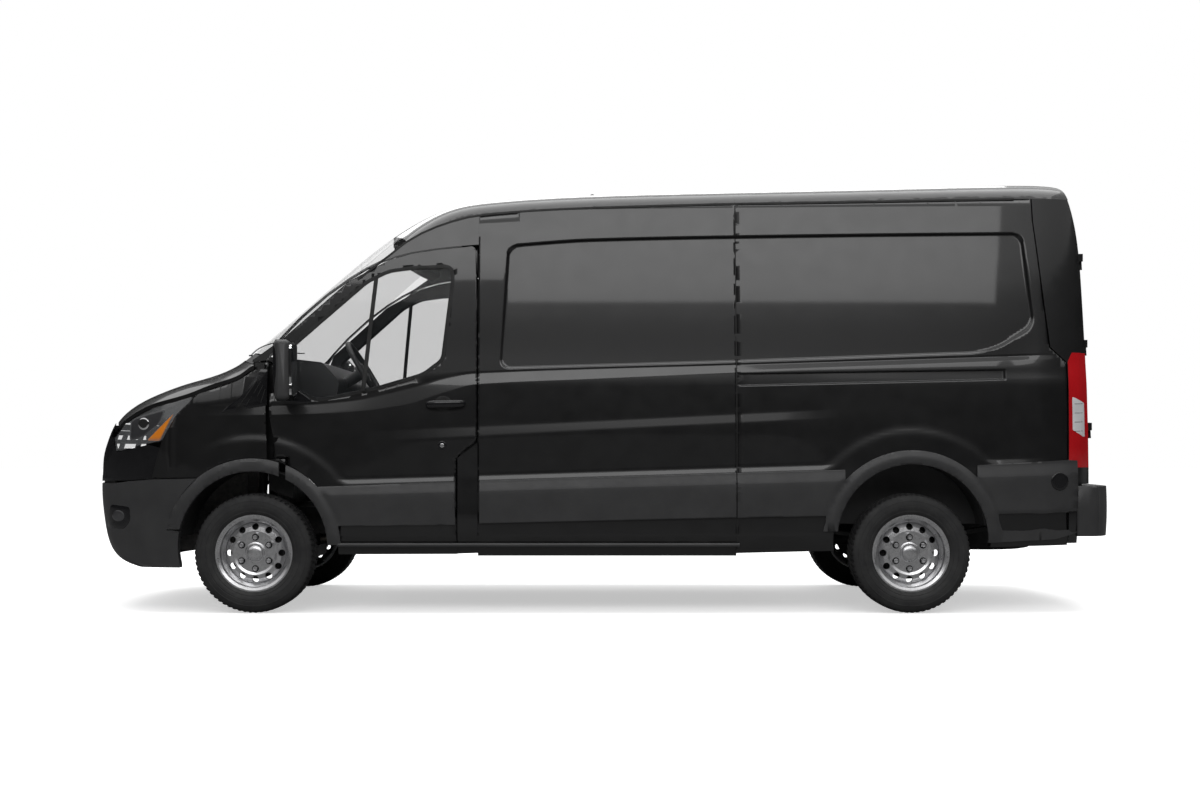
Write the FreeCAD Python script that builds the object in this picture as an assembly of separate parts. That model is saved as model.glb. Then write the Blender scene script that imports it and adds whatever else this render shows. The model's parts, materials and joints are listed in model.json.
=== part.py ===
import FreeCAD, Part
import math
import os

V = FreeCAD.Vector

# Panel van at full size in millimetres.  X runs rearward, Y to the van's right, Z up.
# The origin is on the ground under the middle of the van's length.

# Overall sizes
LENGTH = 5981.0
WHEELBASE = 3750.0
FRONT_OVERHANG = 1023.0
FRONT_TRACK = 1732.0
REAR_TRACK = 1743.0
BODY_HALF = 1002.0

# Thicknesses and gaps
WALL = 58.0
DOOR_DEEP = WALL + 6.0
ROOF_THICK = 46.0
GLASS = 5.0
DOOR_GAP = 7.0
PANEL_GAP = 0.3

# Wheels
TYRE_R = 342.0
TYRE_W = 215.0
RIM_R = 216.0
STUD_PCD = 180.0
STUD_COUNT = 6
VENT_COUNT = 12
VENT_R = 19.0
VENT_CIRCLE = 150.5

# Heights
FLOOR_TOP = 720.0
FLOOR_THICK = 34.0
CAB_FLOOR_TOP = 590.0
ARCH_FRONT_Z = 381.0
ARCH_REAR_Z = 422.0
ARCH_R = 429.0
FLARE_WIDTH = 74.0

FRONT_X = -LENGTH / 2 + FRONT_OVERHANG
REAR_X = FRONT_X + WHEELBASE

nodes = {}


# Curves given by a few points

def smooth(points):
    """Returns f(t), a cubic through the points that keeps their rises and falls."""
    ts = [p[0] for p in points]
    vs = [p[1] for p in points]
    n = len(ts)
    step = [(vs[i + 1] - vs[i]) / (ts[i + 1] - ts[i]) for i in range(n - 1)]
    slope = [step[0]]
    for i in range(1, n - 1):
        a = step[i - 1]
        b = step[i]
        slope.append(0.0 if a * b <= 0 else 2 * a * b / (a + b))
    slope.append(step[-1])

    def value(t):
        if t <= ts[0]:
            return vs[0] + slope[0] * (t - ts[0])
        if t >= ts[-1]:
            return vs[-1] + slope[-1] * (t - ts[-1])
        i = max(k for k in range(n - 1) if ts[k] <= t)
        h = ts[i + 1] - ts[i]
        s = (t - ts[i]) / h
        return (vs[i] * (1 + 2 * s) * (1 - s) ** 2 + slope[i] * h * s * (1 - s) ** 2
                + vs[i + 1] * s * s * (3 - 2 * s) + slope[i + 1] * h * s * s * (s - 1))
    return value


# Centre line of the bonnet, windscreen and roof
top_line = smooth([
    (-2990, 900), (-2958, 985), (-2925, 1072), (-2900, 1118), (-2860, 1165), (-2800, 1212),
    (-2739, 1247), (-2678, 1276), (-2531, 1332), (-2348, 1386), (-2275, 1412),
    (-2194, 1452), (-2121, 1505), (-2050, 1563), (-1943, 1652), (-1721, 1843),
    (-1541, 1996), (-1421, 2096), (-1301, 2188), (-1189, 2262), (-1070, 2328), (-959, 2378),
    (-840, 2417), (-722, 2439), (-560, 2455), (-344, 2471), (130, 2492), (840, 2508),
    (1700, 2529), (2500, 2547), (2900, 2547)])
NOSE_BOW = 6.42e-6

# Half width of the body, and how far its side leans in by height
plan_half = smooth([
    (-3000, 560), (-2920, 690), (-2840, 780), (-2740, 858), (-2640, 908), (-2500, 948),
    (-2350, 970), (-2100, 986), (-1850, 994), (-1500, 1000), (-1000, BODY_HALF),
    (1500, BODY_HALF), (2100, 999), (2500, 990), (2640, 972), (2740, 936), (2800, 880)])
lean = smooth([(200, 2), (700, 0), (1000, 0), (1300, 7), (1380, 17), (1500, 32), (1700, 54),
               (2000, 90), (2150, 112), (2300, 137), (2500, 175), (2700, 215)])

# Height of the roof's edge, and the roof's section as shares of its half width and rise
gutter_z = smooth([(-1980, 1440), (-1900, 1497), (-1700, 1650), (-1500, 1813), (-1350, 1932),
                   (-1250, 2008), (-1160, 2080), (-1070, 2150), (-850, 2245), (-700, 2281),
                   (-413, 2309), (-38, 2328), (337, 2340), (787, 2352), (1047, 2356),
                   (2494, 2383), (2800, 2385)])
ROOF_SECTION = [(1.0, 0.0), (0.99, 0.10), (0.975, 0.22), (0.955, 0.325), (0.93, 0.41),
                (0.89, 0.495), (0.82, 0.595), (0.70, 0.70), (0.5, 0.862), (0.25, 0.965),
                (0.0, 1.0)]

# Rear face of the body at the door's hinge side
rear_face = smooth([(400, 2840), (980, 2830), (1723, 2807), (2118, 2784), (2222, 2764),
                    (2336, 2740), (2400, 2722), (2447, 2702), (2500, 2664), (2540, 2610)])
REAR_BOW = 28.0


def skin_y(x, z):
    return plan_half(x) - lean(z)


def bow(y):
    return NOSE_BOW * abs(y) ** 2.5


def front_top(x, y):
    return top_line(x - bow(y)) - y * y / 14000.0


def rear_x(y, z):
    return rear_face(z) + REAR_BOW * (1 - (y / 800.0) ** 2)


# Small helpers

def grid_face(rows):
    surface = Part.BSplineSurface()
    surface.interpolate(rows)
    return surface.toShape()


def mirror(shape):
    return shape.mirror(V(0, 0, 0), V(0, 1, 0))


def both(shape):
    return Part.Compound(list(shape.Solids) + list(mirror(shape).Solids))


def box(x0, x1, y0, y1, z0, z1):
    return Part.makeBox(x1 - x0, y1 - y0, z1 - z0, V(x0, y0, z0))


def cyl(p, axis, r, h):
    return Part.makeCylinder(r, h, p, axis)


def cyl_y(x, z, r, y0, y1):
    return Part.makeCylinder(r, y1 - y0, V(x, y0, z), V(0, 1, 0))


def outline(points):
    """Closed wire in the plane of X and Z; a third value rounds that corner."""
    n = len(points)
    pts = [V(p[0], 0, p[1]) for p in points]
    starts = []
    ends = []
    mids = []
    for i in range(n):
        r = points[i][2] if len(points[i]) > 2 else 0.0
        a = (pts[i - 1] - pts[i])
        b = (pts[(i + 1) % n] - pts[i])
        if r <= 0:
            starts.append(pts[i])
            ends.append(pts[i])
            mids.append(None)
            continue
        half = a.getAngle(b) / 2
        cut = r / math.tan(half)
        a.normalize()
        b.normalize()
        starts.append(pts[i] + a * cut)
        ends.append(pts[i] + b * cut)
        toward = a + b
        toward.normalize()
        mids.append(pts[i] + toward * (r / math.sin(half) - r))
    edges = []
    for i in range(n):
        if mids[i] is not None:
            edges.append(Part.Arc(starts[i], mids[i], ends[i]).toShape())
        j = (i + 1) % n
        if (starts[j] - ends[i]).Length > 1e-6:
            edges.append(Part.LineSegment(ends[i], starts[j]).toShape())
    return Part.Wire(edges)


def prism(points, y0, y1, grow=0.0):
    """Solid between y0 and y1 over an outline in X and Z, grown outwards by grow."""
    face = Part.Face(outline(points))
    if grow:
        face = face.makeOffset2D(grow)
        face = Part.Face(face.OuterWire)
    face.translate(V(0, y0, 0))
    return face.extrude(V(0, y1 - y0, 0))


def prism_x(points, x0, x1):
    """Solid between x0 and x1 over a polygon in Y and Z."""
    wire = outline([(p[0], p[1]) + tuple(p[2:]) for p in points])
    face = Part.Face(wire)
    face.rotate(V(0, 0, 0), V(0, 0, 1), 90)
    face.translate(V(x0, 0, 0))
    return face.extrude(V(x1 - x0, 0, 0))


def prism_z(points, z0, z1):
    """Solid between z0 and z1 over a polygon in X and Y."""
    wire = outline([(p[0], p[1]) + tuple(p[2:]) for p in points])
    face = Part.Face(wire)
    face.rotate(V(0, 0, 0), V(1, 0, 0), -90)
    solid = face.extrude(V(0, 0, -1.0))
    box_z = solid.BoundBox
    face.translate(V(0, 0, z0 - box_z.ZMax))
    return face.extrude(V(0, 0, z1 - z0))


def fuse(shapes):
    first = shapes[0]
    if len(shapes) == 1:
        return first
    result = first.fuse(shapes[1:])
    return result.removeSplitter()


def weld(shapes):
    """Fuses free-form pieces without merging their faces."""
    return shapes[0].fuse(shapes[1:])


def keep(name, shape):
    nodes[name] = shape


def biggest(shape):
    return max(shape.Solids, key=lambda s: s.Volume)


# The body's skins

SIDE_X = [-3000, -2960, -2900, -2820, -2730, -2620, -2480, -2300, -2050, -1750, -1300, -600,
          400, 1300, 1900, 2250, 2450, 2600, 2700, 2760, 2800, 2835]
SIDE_Z = [200, 450, 700, 900, 1050, 1200, 1320, 1400, 1500, 1650, 1850, 2050, 2200, 2350, 2450]


def side_skin(inset=0.0):
    rows = [[V(x, skin_y(x, z) - inset, z) for z in SIDE_Z] for x in SIDE_X]
    return grid_face(rows)


def side_slab(outer, inner):
    """Slab of the right side between two depths below its skin, measured along Y."""
    face = side_skin(outer)
    return face.extrude(V(0, outer - inner, 0))


def ease(t):
    t = min(1.0, max(0.0, t))
    return t * t * (3 - 2 * t)


def roof_height(x, y, share, rise):
    """Roof surface, which runs into the windscreen's surface towards the header."""
    zg = gutter_z(x)
    zc = top_line(x)
    if x > 2560:
        zc = zc - 0.0009 * (x - 2560) ** 2
    section = zg + (zc - zg) * rise
    half = skin_y(x, zg)
    edge = front_top(x, half) - zg
    screen = front_top(x, y) - edge * share ** 6
    return screen + ease((x + 1250.0) / 450.0) * (section - screen)


def roof_grid(stations, top):
    """Rows of points; each station gives x for a lateral position."""
    rows = []
    for station in stations:
        row = []
        for side in (-1, 1):
            part_row = []
            for f, g in ROOF_SECTION:
                x = station(0.0)
                for _ in range(20):
                    y = f * skin_y(x, gutter_z(x))
                    x = station(y)
                part_row.append(V(x, side * y, roof_height(x, y, f, g) - top))
            row += part_row if side < 0 else part_row[:-1][::-1]
        rows.append(row)
    return rows


def lerp_station(a, b, t):
    return lambda y: (a + bow(y)) * (1 - t) + b * t


def flat_station(x):
    return lambda y: x


# Outlines in the side view, X and Z
DOOR = [(-1874, 1380, 60), (-1876, 1148, 300), (-1853, 1017, 200), (-1833, 898, 200),
        (-1797, 779, 40), (-1640, 640), (-1560, 540), (-1505, 394, 12), (-808, 394, 14),
        (-811, 892, 60), (-694, 985, 60), (-694, 1784, 300), (-706, 2104, 26), (-910, 2083, 300),
        (-1066, 2060, 300), (-1198, 2023, 200), (-1431, 1898, 200), (-1800, 1571, 90)]
DOOR_GLASS = [(-868, 1982, 8), (-830, 1976, 12), (-832, 1925, 20), (-889, 1446, 60),
              (-1000, 1362, 120), (-1261, 1284, 200), (-1598, 1214, 30), (-1729, 1275, 20),
              (-1752, 1520, 20), (-1323, 1897, 60), (-1200, 1957, 80), (-1060, 1972, 100)]


# Front pieces follow bowed lines across the van; x is given at the centre plane

def edge_point(x, drop=0.0):
    """Where the bowed line from x meets the right skin, and how high the top is there."""
    y = 700.0
    z = 1000.0
    for _ in range(60):
        z = top_line(x) - y * y / 14000.0
        y = 0.5 * y + 0.5 * (skin_y(x + bow(y), z) - drop)
    return y, z


shut_line = smooth([(-2850, 985), (-2764, 1058), (-2678, 1128), (-2550, 1172), (-2296, 1246),
                    (-2200, 1330), (-2100, 1376), (-1965, 1440)])
SHARES = [-1.0, -0.97, -0.93, -0.86, -0.75, -0.55, -0.28, 0.0, 0.28, 0.55, 0.75, 0.86, 0.93,
          0.97, 1.0]


def top_sheet(xs, drop, thick, inset, shoulder, direction):
    rows = []
    for x in xs:
        ye, ze = edge_point(x, inset)
        fall = 0.0
        if shoulder:
            fall = max(0.0, ze - shut_line(x + bow(ye)) - 24.0)
        row = []
        for f in SHARES:
            y = f * ye
            z = top_line(x) - y * y / 14000.0 - fall * abs(f) ** 9 - drop
            row.append(V(x + bow(y), y, z))
        rows.append(row)
    return grid_face(rows).extrude(direction * thick)


HEADER_X = -1256.0
BONNET_THICK = 24.0
BONNET_XS = [-2896, -2880, -2850, -2800, -2720, -2620, -2500, -2400, -2300, -2220, -2150]
COWL_XS = [-2142, -2125, -2105, -2088]
SCREEN_XS = [-2080, -2020, -1950, -1850, -1700, -1500, -1400, -1320, -1262]
SCREEN_NORMAL = V(0.65, 0, -0.76)
DOWN = V(0, 0, -1)


def make_bonnet():
    keep("bonnet", top_sheet(BONNET_XS, 0, BONNET_THICK, 2, True, DOWN))


def bonnet_room():
    """The bonnet's space with its running gap, cut from the pieces round it."""
    xs = [BONNET_XS[0] - 12] + BONNET_XS[1:-1] + [BONNET_XS[-1] + DOOR_GAP]
    room = top_sheet(xs, -14, BONNET_THICK + 14 + 6, -20, True, DOWN)
    ahead = room.copy()
    ahead.translate(V(-9, 0, -2))
    return [room, ahead]


def make_cowl():
    keep("cowl_panel", top_sheet(COWL_XS, 4, 30, 70, False, DOWN))


def make_windscreen():
    keep("windscreen", top_sheet(SCREEN_XS, 1, 7, 60.3, False, SCREEN_NORMAL))


# The nose and bumper wrap round in one surface

nose_x = smooth([(262, -2790), (290, -2862), (345, -2922), (420, -2955), (520, -2974),
                 (640, -2988), (720, -2990.5), (800, -2988), (900, -2980), (985, -2956),
                 (1072, -2921), (1118, -2899), (1160, -2870)])


def wrap_rows(zs, inset, x_end, grow=0.0):
    rows = []
    for z in zs:
        yc = 700.0
        for _ in range(60):
            yc = 0.5 * yc + 0.5 * (skin_y(nose_x(z) + bow(yc), z) + grow)
        xc = nose_x(z) + bow(yc)
        pts = []
        for f in (0.0, 0.2, 0.4, 0.58, 0.74, 0.86, 0.94):
            pts.append(V(nose_x(z) + bow(yc * f), yc * f, z))
        for f in (0.07, 0.16, 0.3, 0.48, 0.66, 0.84, 1.0):
            x = xc + (x_end - xc) * f
            pts.append(V(x, skin_y(x, z) + grow, z))
        if inset:
            moved = []
            for i in range(len(pts)):
                a = pts[max(i - 1, 0)]
                b = pts[min(i + 1, len(pts) - 1)]
                t = b - a
                if i == 0:
                    t = V(0, 1, 0)
                n = V(t.y, -t.x, 0)
                n.normalize()
                moved.append(pts[i] + n * inset)
            pts = moved
        left = [V(p.x, -p.y, p.z) for p in pts[1:]]
        rows.append(left[::-1] + pts)
    return rows


def between(outer_rows, inner_rows):
    """Closed solid between two grids of the same size."""
    a = grid_face(outer_rows)
    b = grid_face(inner_rows)
    faces = [a, b]
    ea = a.Edges
    for e in ea:
        mid = e.valueAt((e.FirstParameter + e.LastParameter) / 2)
        best = None
        for f in b.Edges:
            m2 = f.valueAt((f.FirstParameter + f.LastParameter) / 2)
            d = (mid - m2).Length
            if best is None or d < best[0]:
                best = (d, f)
        faces.append(Part.makeRuledSurface(e, best[1]))
    shell = Part.makeShell(faces)
    shell.sewShape()
    solid = Part.makeSolid(shell)
    if solid.Volume < 0:
        solid.reverse()
    return solid


BUMPER_FRONT = [(-3100, 200), (-2385, 200), (-2385, 466), (-2451, 478), (-2420, 600),
                (-2330, 730), (-2276, 770), (-2557, 763), (-2700, 752), (-2810, 738), (-3100, 738)]
LAMP = [(-2790, 926), (-2580, 970, 20), (-2496, 984, 40), (-2407, 1137, 120), (-2297, 1240, 6),
        (-2550, 1168), (-2690, 1118, 20), (-2800, 1000)]


def make_bumper():
    zs = [262, 290, 330, 380, 450, 540, 640, 720, 775]
    shell = between(wrap_rows(zs, 0, -2200, 12), wrap_rows(zs, 60, -2200, 12))
    trim = prism(BUMPER_FRONT, -1200, 1200).cut(cyl_y(FRONT_X, ARCH_FRONT_Z, ARCH_R, -1200, 1200))
    flare_room = cyl_y(FRONT_X, ARCH_FRONT_Z, ARCH_R + FLARE_WIDTH + PANEL_GAP, -1200, 1200)
    flare_room = flare_room.common(box(-2600, -2200, -1200, 1200, 474, 1000))
    keep("front_bumper", biggest(shell.common(trim).cut(flare_room)))


def make_nose():
    zs = [742, 790, 840, 900, 960, 1010, 1060, 1112]
    shell = between(wrap_rows(zs, 0, -2300), wrap_rows(zs, 46, -2300))
    zone = prism([(-3100, 744), (-2700, 757), (-2540, 769), (-2490, 940), (-2580, 962),
                  (-2790, 918), (-2830, 1012), (-2800, 1085), (-3100, 1085)], -1100, 1100)
    panel = biggest(shell.common(zone))
    panel = panel.cut(prism(WING, -1200, 1200, PANEL_GAP))
    hole = box(-3050, -2800, -560, 560, 800, 1050)
    keep("nose_panel", biggest(panel.cut([hole] + bonnet_room())))
    inner = between(wrap_rows(zs, 8, -2300), wrap_rows(zs, 36, -2300))
    bars = [box(-3050, -2800, -559.7, 559.7, z, z + 26) for z in (806, 860, 914, 968, 1020)]
    posts = [box(-3050, -2800, y - 12, y + 12, 806, 1046) for y in (-547.7, -180, 180, 547.7)]
    grid = fuse(bars + posts)
    keep("grille", biggest(inner.common(grid)))


def make_lamps():
    zs = [880, 940, 1000, 1060, 1120, 1180, 1260]
    shell = between(wrap_rows(zs, 0.5, -2200), wrap_rows(zs, 60, -2200))
    lamp = shell.common(prism(LAMP, 300, 1100, -PANEL_GAP))
    keep("headlamps", both(biggest(lamp.cut(bonnet_room()))))


WING = [(-2557, 774), (-2200, 776), (-1781, 776), (-1781, 879), (-1840, 879), (-1842, 904),
        (-1860, 1017), (-1883, 1148), (-1881, 1380), (-1884, 1430), (-1972, 1432), (-2100, 1368),
        (-2200, 1322), (-2296, 1238), (-2407, 1137, 120), (-2496, 978, 40)]
HINGE_X = -1842.0
HINGE_Y = 950.0
HINGE_ZS = (930.0, 1330.0)


def flare_ring(cx, cz, r0, r1):
    return cyl_y(cx, cz, r1, 800, 1100).cut(cyl_y(cx, cz, r0, 700, 1200))


def make_wings(slab):
    wing = slab.common(prism(WING, 700, 1100))
    wing = wing.cut(cyl_y(FRONT_X, ARCH_FRONT_Z, ARCH_R + FLARE_WIDTH + 0.5, 700, 1100))
    wing = wing.cut(cyl(V(HINGE_X, HINGE_Y, 879), V(0, 0, 1), 61, 621))
    keep("front_wings", both(biggest(wing.cut(bonnet_room()))))


def make_flares(clad):
    ring = flare_ring(FRONT_X, ARCH_FRONT_Z, ARCH_R, ARCH_R + FLARE_WIDTH)
    front = clad.common(ring).common(box(-2460, -1815, 700, 1200, 480, 1000))
    keep("wing_flares", both(biggest(front)))
    ring = flare_ring(REAR_X, ARCH_REAR_Z, ARCH_R, ARCH_R + FLARE_WIDTH + 6)
    rear = clad.common(ring).common(box(900, 2700, 700, 1200, 470, 1000))
    bands = []
    front_band = prism([(-676, 515), (-676, 757), (782, 802), (782, 548)], 800, 1200)
    bands.append(clad.common(front_band))
    mid = prism([(788, 548), (788, 802), (1400, 820), (1400, 560)], 800, 1200)
    mid = clad.common(mid).cut(cyl_y(REAR_X, ARCH_REAR_Z, ARCH_R + 1, 700, 1200))
    tail = prism([(2150, 402), (2150, 845), (2679, 875), (2738, 872), (2738, 460), (2600, 425)],
                 800, 1200)
    tail = clad.common(tail).cut(cyl_y(REAR_X, ARCH_REAR_Z, ARCH_R + 1, 700, 1200))
    rear_all = fuse([rear, biggest(mid), biggest(tail)])
    keep("side_cladding", Part.Compound(bands[0].Solids + rear_all.Solids
                                        + mirror(bands[0]).Solids + mirror(rear_all).Solids))


def make_doors(slab, clad):
    panel = slab.common(prism(DOOR, 700, 1100))
    panel = panel.cut(cyl_y(FRONT_X, ARCH_FRONT_Z, ARCH_R + FLARE_WIDTH + 0.5, 700, 1100))
    panel = panel.cut(prism(DOOR_GLASS, 700, 1100))
    door = biggest(panel.cut(box(-1900, -1754, 700, 1100, 380, 894)))
    pocket = cyl(V(HINGE_X, HINGE_Y, 0), V(0, 0, 1), 42, 150)
    knuckles = []
    for z in HINGE_ZS:
        space = pocket.copy()
        space.translate(V(0, 0, z - 75))
        door = door.cut(space)
    for z in HINGE_ZS:
        for dz in (-45, 15.3):
            barrel = cyl(V(HINGE_X, HINGE_Y, z + dz), V(0, 0, 1), 15, 29.7)
            arm = box(HINGE_X, HINGE_X + 60, HINGE_Y - 9, HINGE_Y + 9, z + dz, z + dz + 29.7)
            knuckles.append(barrel.fuse(arm).cut(cyl(V(HINGE_X, HINGE_Y, z - 80), V(0, 0, 1), 8.3, 160)))
    door = fuse([door] + knuckles)
    door = biggest(door)
    glass = biggest(side_slab(9, 9 + GLASS).common(prism(DOOR_GLASS, 700, 1100, -0.3)))
    ring = flare_ring(FRONT_X, ARCH_FRONT_Z, ARCH_R, ARCH_R + FLARE_WIDTH)
    flare = clad.common(ring).common(box(-1776, -1400, 700, 1200, 392, 900))
    band = prism([(-1600, 500), (-1600, 723), (-1012, 745), (-817, 752), (-815, 508)], 800, 1200)
    band = clad.common(band).cut(cyl_y(FRONT_X, ARCH_FRONT_Z, ARCH_R + 1, 700, 1200))
    trim = fuse([biggest(flare), biggest(band)])
    trim = trim.fuse(mirror_housing())
    keep("door_right", door)
    keep("door_left", mirror(door))
    keep("door_glass_right", glass)
    keep("door_glass_left", mirror(glass))
    keep("door_trim_right", trim)
    keep("door_trim_left", mirror(trim))


def mirror_housing():
    head = box(-1800, -1716, 1020, 1237, 1210, 1545)
    head = head.makeFillet(26, head.Edges)
    foot = box(-1780, -1735, 968, 1040, 1215, 1262).cut(side_slab(0, WALL))
    return head.fuse(biggest(foot))


def make_sides(slab):
    left_centre = slab.common(prism([(-687, 330), (-687, 2400), (785, 2400), (785, 330)], 700, 1100))
    under = gutter_trim()
    centre = biggest(left_centre.cut(under))
    rear_zone = [(785.3, 345), (785.3, 2450), (2497, 2450), (2500, 2247), (2549, 1753), (2575, 1518),
                 (2675, 1428), (2675, 390)]
    rear = slab.common(prism(rear_zone, 700, 1100))
    rear = rear.cut(cyl_y(REAR_X, ARCH_REAR_Z, ARCH_R + 20, 700, 1100))
    rear = biggest(rear.cut(under))
    keep("side_centre_left", mirror(centre))
    keep("sliding_door", centre)
    keep("side_rear_right", rear)
    keep("side_rear_left", mirror(rear))


GUTTER_XS = (-1400, -1250, -1160, -1070, -950, -850, -700, -413, -38, 337, 787, 1047, 1600,
             2200, 2494, 2860)


def gutter_trim():
    pts = [(x, gutter_z(x) - PANEL_GAP) for x in GUTTER_XS]
    return prism([(-1400, 2700)] + pts + [(2860, 2700)], 600, 1200)


def under_gutter():
    pts = [(x, gutter_z(x)) for x in GUTTER_XS]
    return prism([(-1400, 1000)] + pts + [(2860, 1000)], -1200, 1200)


def make_roofs():
    below = under_gutter()
    cab = [lerp_station(HEADER_X, -687.3, t) for t in (0, 0.08, 0.2, 0.35, 0.52, 0.7, 0.86, 1.0)]
    centre = [flat_station(x) for x in (-687, -560, -350, 0, 400, 785)]
    rear = [flat_station(785.3 + 140.35 * k) for k in range(15)]
    for name, stations in (("roof_cab", cab), ("roof_centre", centre), ("roof_rear", rear)):
        slab = grid_face(roof_grid(stations, 0)).extrude(V(0, 0, -ROOF_THICK))
        slab = slab.cut(below)
        if name == "roof_rear":
            slab = slab.cut(rear_sheet(0, 1150, 2250, 2620, -600))
        keep(name, biggest(slab))


def make_cab_frame(slab):
    """Pillars, cant rails, header, sills and lower corners round the front doors, in one."""
    door_top = smooth([(-1980, 1432), (-1890, 1446), (-1810, 1572), (-1431, 1908), (-1198, 2032),
                       (-1066, 2069), (-910, 2092), (-700, 2112), (-600, 2114)])
    xs = (-1972, -1935, -1895, -1850, -1800, -1700, -1560, -1431, -1330, -1250, -1160, -1070,
          -950, -850, -687.3)
    strip = [(x, door_top(x)) for x in xs]
    strip += [(x, max(gutter_z(x) - 0.5, door_top(x) + 8)) for x in reversed(xs)]
    rail = biggest(side_slab(0, 60).common(prism(strip, 500, 1100)))
    deep = side_slab(DOOR_DEEP, 130)
    pillar_b = biggest(deep.common(box(-790, -700, 500, 1100, 592, 2215)))
    pillar_head = biggest(side_slab(30, 130).common(box(-790, -700, 500, 1100, 2124, 2215)))
    sill = biggest(slab.common(prism([(-1480, 338), (-1480, 386), (-803, 386), (-803, 340)], 700, 1100)))
    corner = biggest(slab.common(prism([(-801, 342), (-801, 888), (-687.3, 975), (-687.3, 346)], 700, 1100)))
    sill_box = box(-1490, -694, 850, 920, 345, 556)
    sill_lip = box(-1480, -694, 900, 960, 345, 384)
    foot = box(-801, -700, 845, 990, 400, 600)
    hinge_post = box(-1960, -1835, 812, 886, 850, 1425)
    gusset = side_slab(WALL + 0.3, 125).common(box(-1935, -1905, 700, 1100, 1250, 1443))
    gusset = biggest(gusset)
    lugs = []
    for z in HINGE_ZS:
        lug = box(HINGE_X - 9, HINGE_X + 9, 880, HINGE_Y, z - 15, z + 15)
        pin = cyl(V(HINGE_X, HINGE_Y, z - 45), V(0, 0, 1), 8, 90)
        lugs.append(lug.fuse(pin))
    half = weld([rail, pillar_b, pillar_head, sill, corner, sill_box, sill_lip, foot, hinge_post,
                 gusset] + lugs)
    firewall = box(-1960, -1928, -850, 850, 850, 1425)
    header = top_sheet([-1252, -1235, -1215, -1195], 68, 30, 30, False, DOWN)
    return weld([half, mirror(half), firewall, header])


def make_rear_frame(slab):
    """Corner posts with a header and a sill between them, round the rear doors."""
    post_zone = [(2503, 2450), (2506, 2247), (2555, 1753), (2581, 1520), (2681, 1430),
                 (2681, 400), (2738, 400), (2738, 738), (2830, 738), (2830, 2450)]
    post = slab.common(prism(post_zone, 700, 1100)).cut(gutter_trim())
    post = biggest(post)
    post = biggest(post.common(rear_block(0, 2000)))
    deep = side_slab(WALL + PANEL_GAP, 110)
    inner = biggest(deep.common(box(2600, 2665, 500, 1100, 690, 2380)))
    inner_low = biggest(deep.common(box(2660, 2712, 500, 1100, 690, 1425)))
    link = biggest(side_slab(30, 110).common(box(2681, 2712, 500, 1100, 760, 1420)))
    half = weld([post, inner_low, link, inner])
    half = biggest(half.cut(rear_opening()))
    return weld([half] + [rear_hinge(z, False) for z in REAR_HINGE_ZS])


def rear_sheet(depth, y_half, z0, z1, thick):
    zs = [z0 + (z1 - z0) * k / 14.0 for k in range(15)]
    ys = [y_half * k / 4.0 for k in range(-4, 5)]
    rows = [[V(rear_x(y, z) - depth, y, z) for y in ys] for z in zs]
    return grid_face(rows).extrude(V(-thick, 0, 0))


def rear_block(depth, thick, y_half=1100):
    return rear_sheet(depth, y_half, 380, 2470, thick)


REAR_HINGE = V(2852, 806, 900)
REAR_HINGE_DIR = V(-0.041, -0.04, 1)


LEAF = [(3.5, 758, 12), (803, 758, 26), (741, 2330, 60), (600, 2356, 200), (3.5, 2366, 8)]


def rear_opening():
    right = [(0, 751), (810, 751), (748, 2338), (600, 2363), (0, 2373)]
    return fuse([prism_x(right, 2500, 3000), mirror(prism_x(right, 2500, 3000))])


REAR_HINGE_ZS = (1000.0, 1480.0, 1980.0)


def rear_axis(z):
    return REAR_HINGE + REAR_HINGE_DIR * (z - REAR_HINGE.z)


def rear_hinge(z, on_door):
    """One knuckle at height z: the door's half, or the body's half with the pin."""
    p = rear_axis(z)
    up = REAR_HINGE_DIR
    if on_door:
        barrel = cyl(p, up, 10, 44.7)
        arm = box(p.x - 34, p.x + 4, p.y - 40, p.y - 8, p.z + 7, p.z + 37)
        tab = box(p.x - 5, p.x + 4, p.y - 10, p.y, p.z + 7, p.z + 37)
        return fuse([barrel, arm, tab]).cut(cyl(rear_axis(z - 10), up, 5.3, 80))
    barrel = cyl(rear_axis(z + 45), up, 10, 45)
    pin = cyl(p, up, 5, 80)
    arm = box(p.x - 50, p.x + 2, p.y, p.y + 44, p.z + 45.3, p.z + 89)
    return fuse([barrel, pin, arm])


def make_rear_doors():
    sheet = rear_sheet(0, 1000, 740, 2420, 58)
    leaf = prism_x(LEAF, 2400, 3000)
    door = biggest(sheet.common(leaf))
    door = weld([door] + [rear_hinge(z, True) for z in REAR_HINGE_ZS])
    keep("rear_door_right", door)
    keep("rear_door_left", mirror(door))


TAIL_LAMP = [(2684, 1440), (2684, 850), (2712, 832), (2862, 832), (2862, 1490), (2712, 1490)]


def make_tail_lamps(slab):
    lamp = slab.common(prism(TAIL_LAMP, 810, 1100))
    lamp = biggest(lamp.common(rear_block(0, 400)))
    return lamp


def rear_bars():
    """Header over the doors, up to the roof's underside, and the sill under them."""
    stations = [flat_station(x) for x in (2500, 2560, 2620, 2680, 2720, 2760)]
    room = grid_face(roof_grid(stations, ROOF_THICK + 0.3)).extrude(V(0, 0, -300))
    band = rear_sheet(0, 900, 2300, 2538, 90).common(box(2500, 3000, -752, 752, 2374, 2600))
    header = biggest(band.common(room))
    sill = box(2690, 2796.7, -830, 830, 690, 750)
    return [header, sill]


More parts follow.
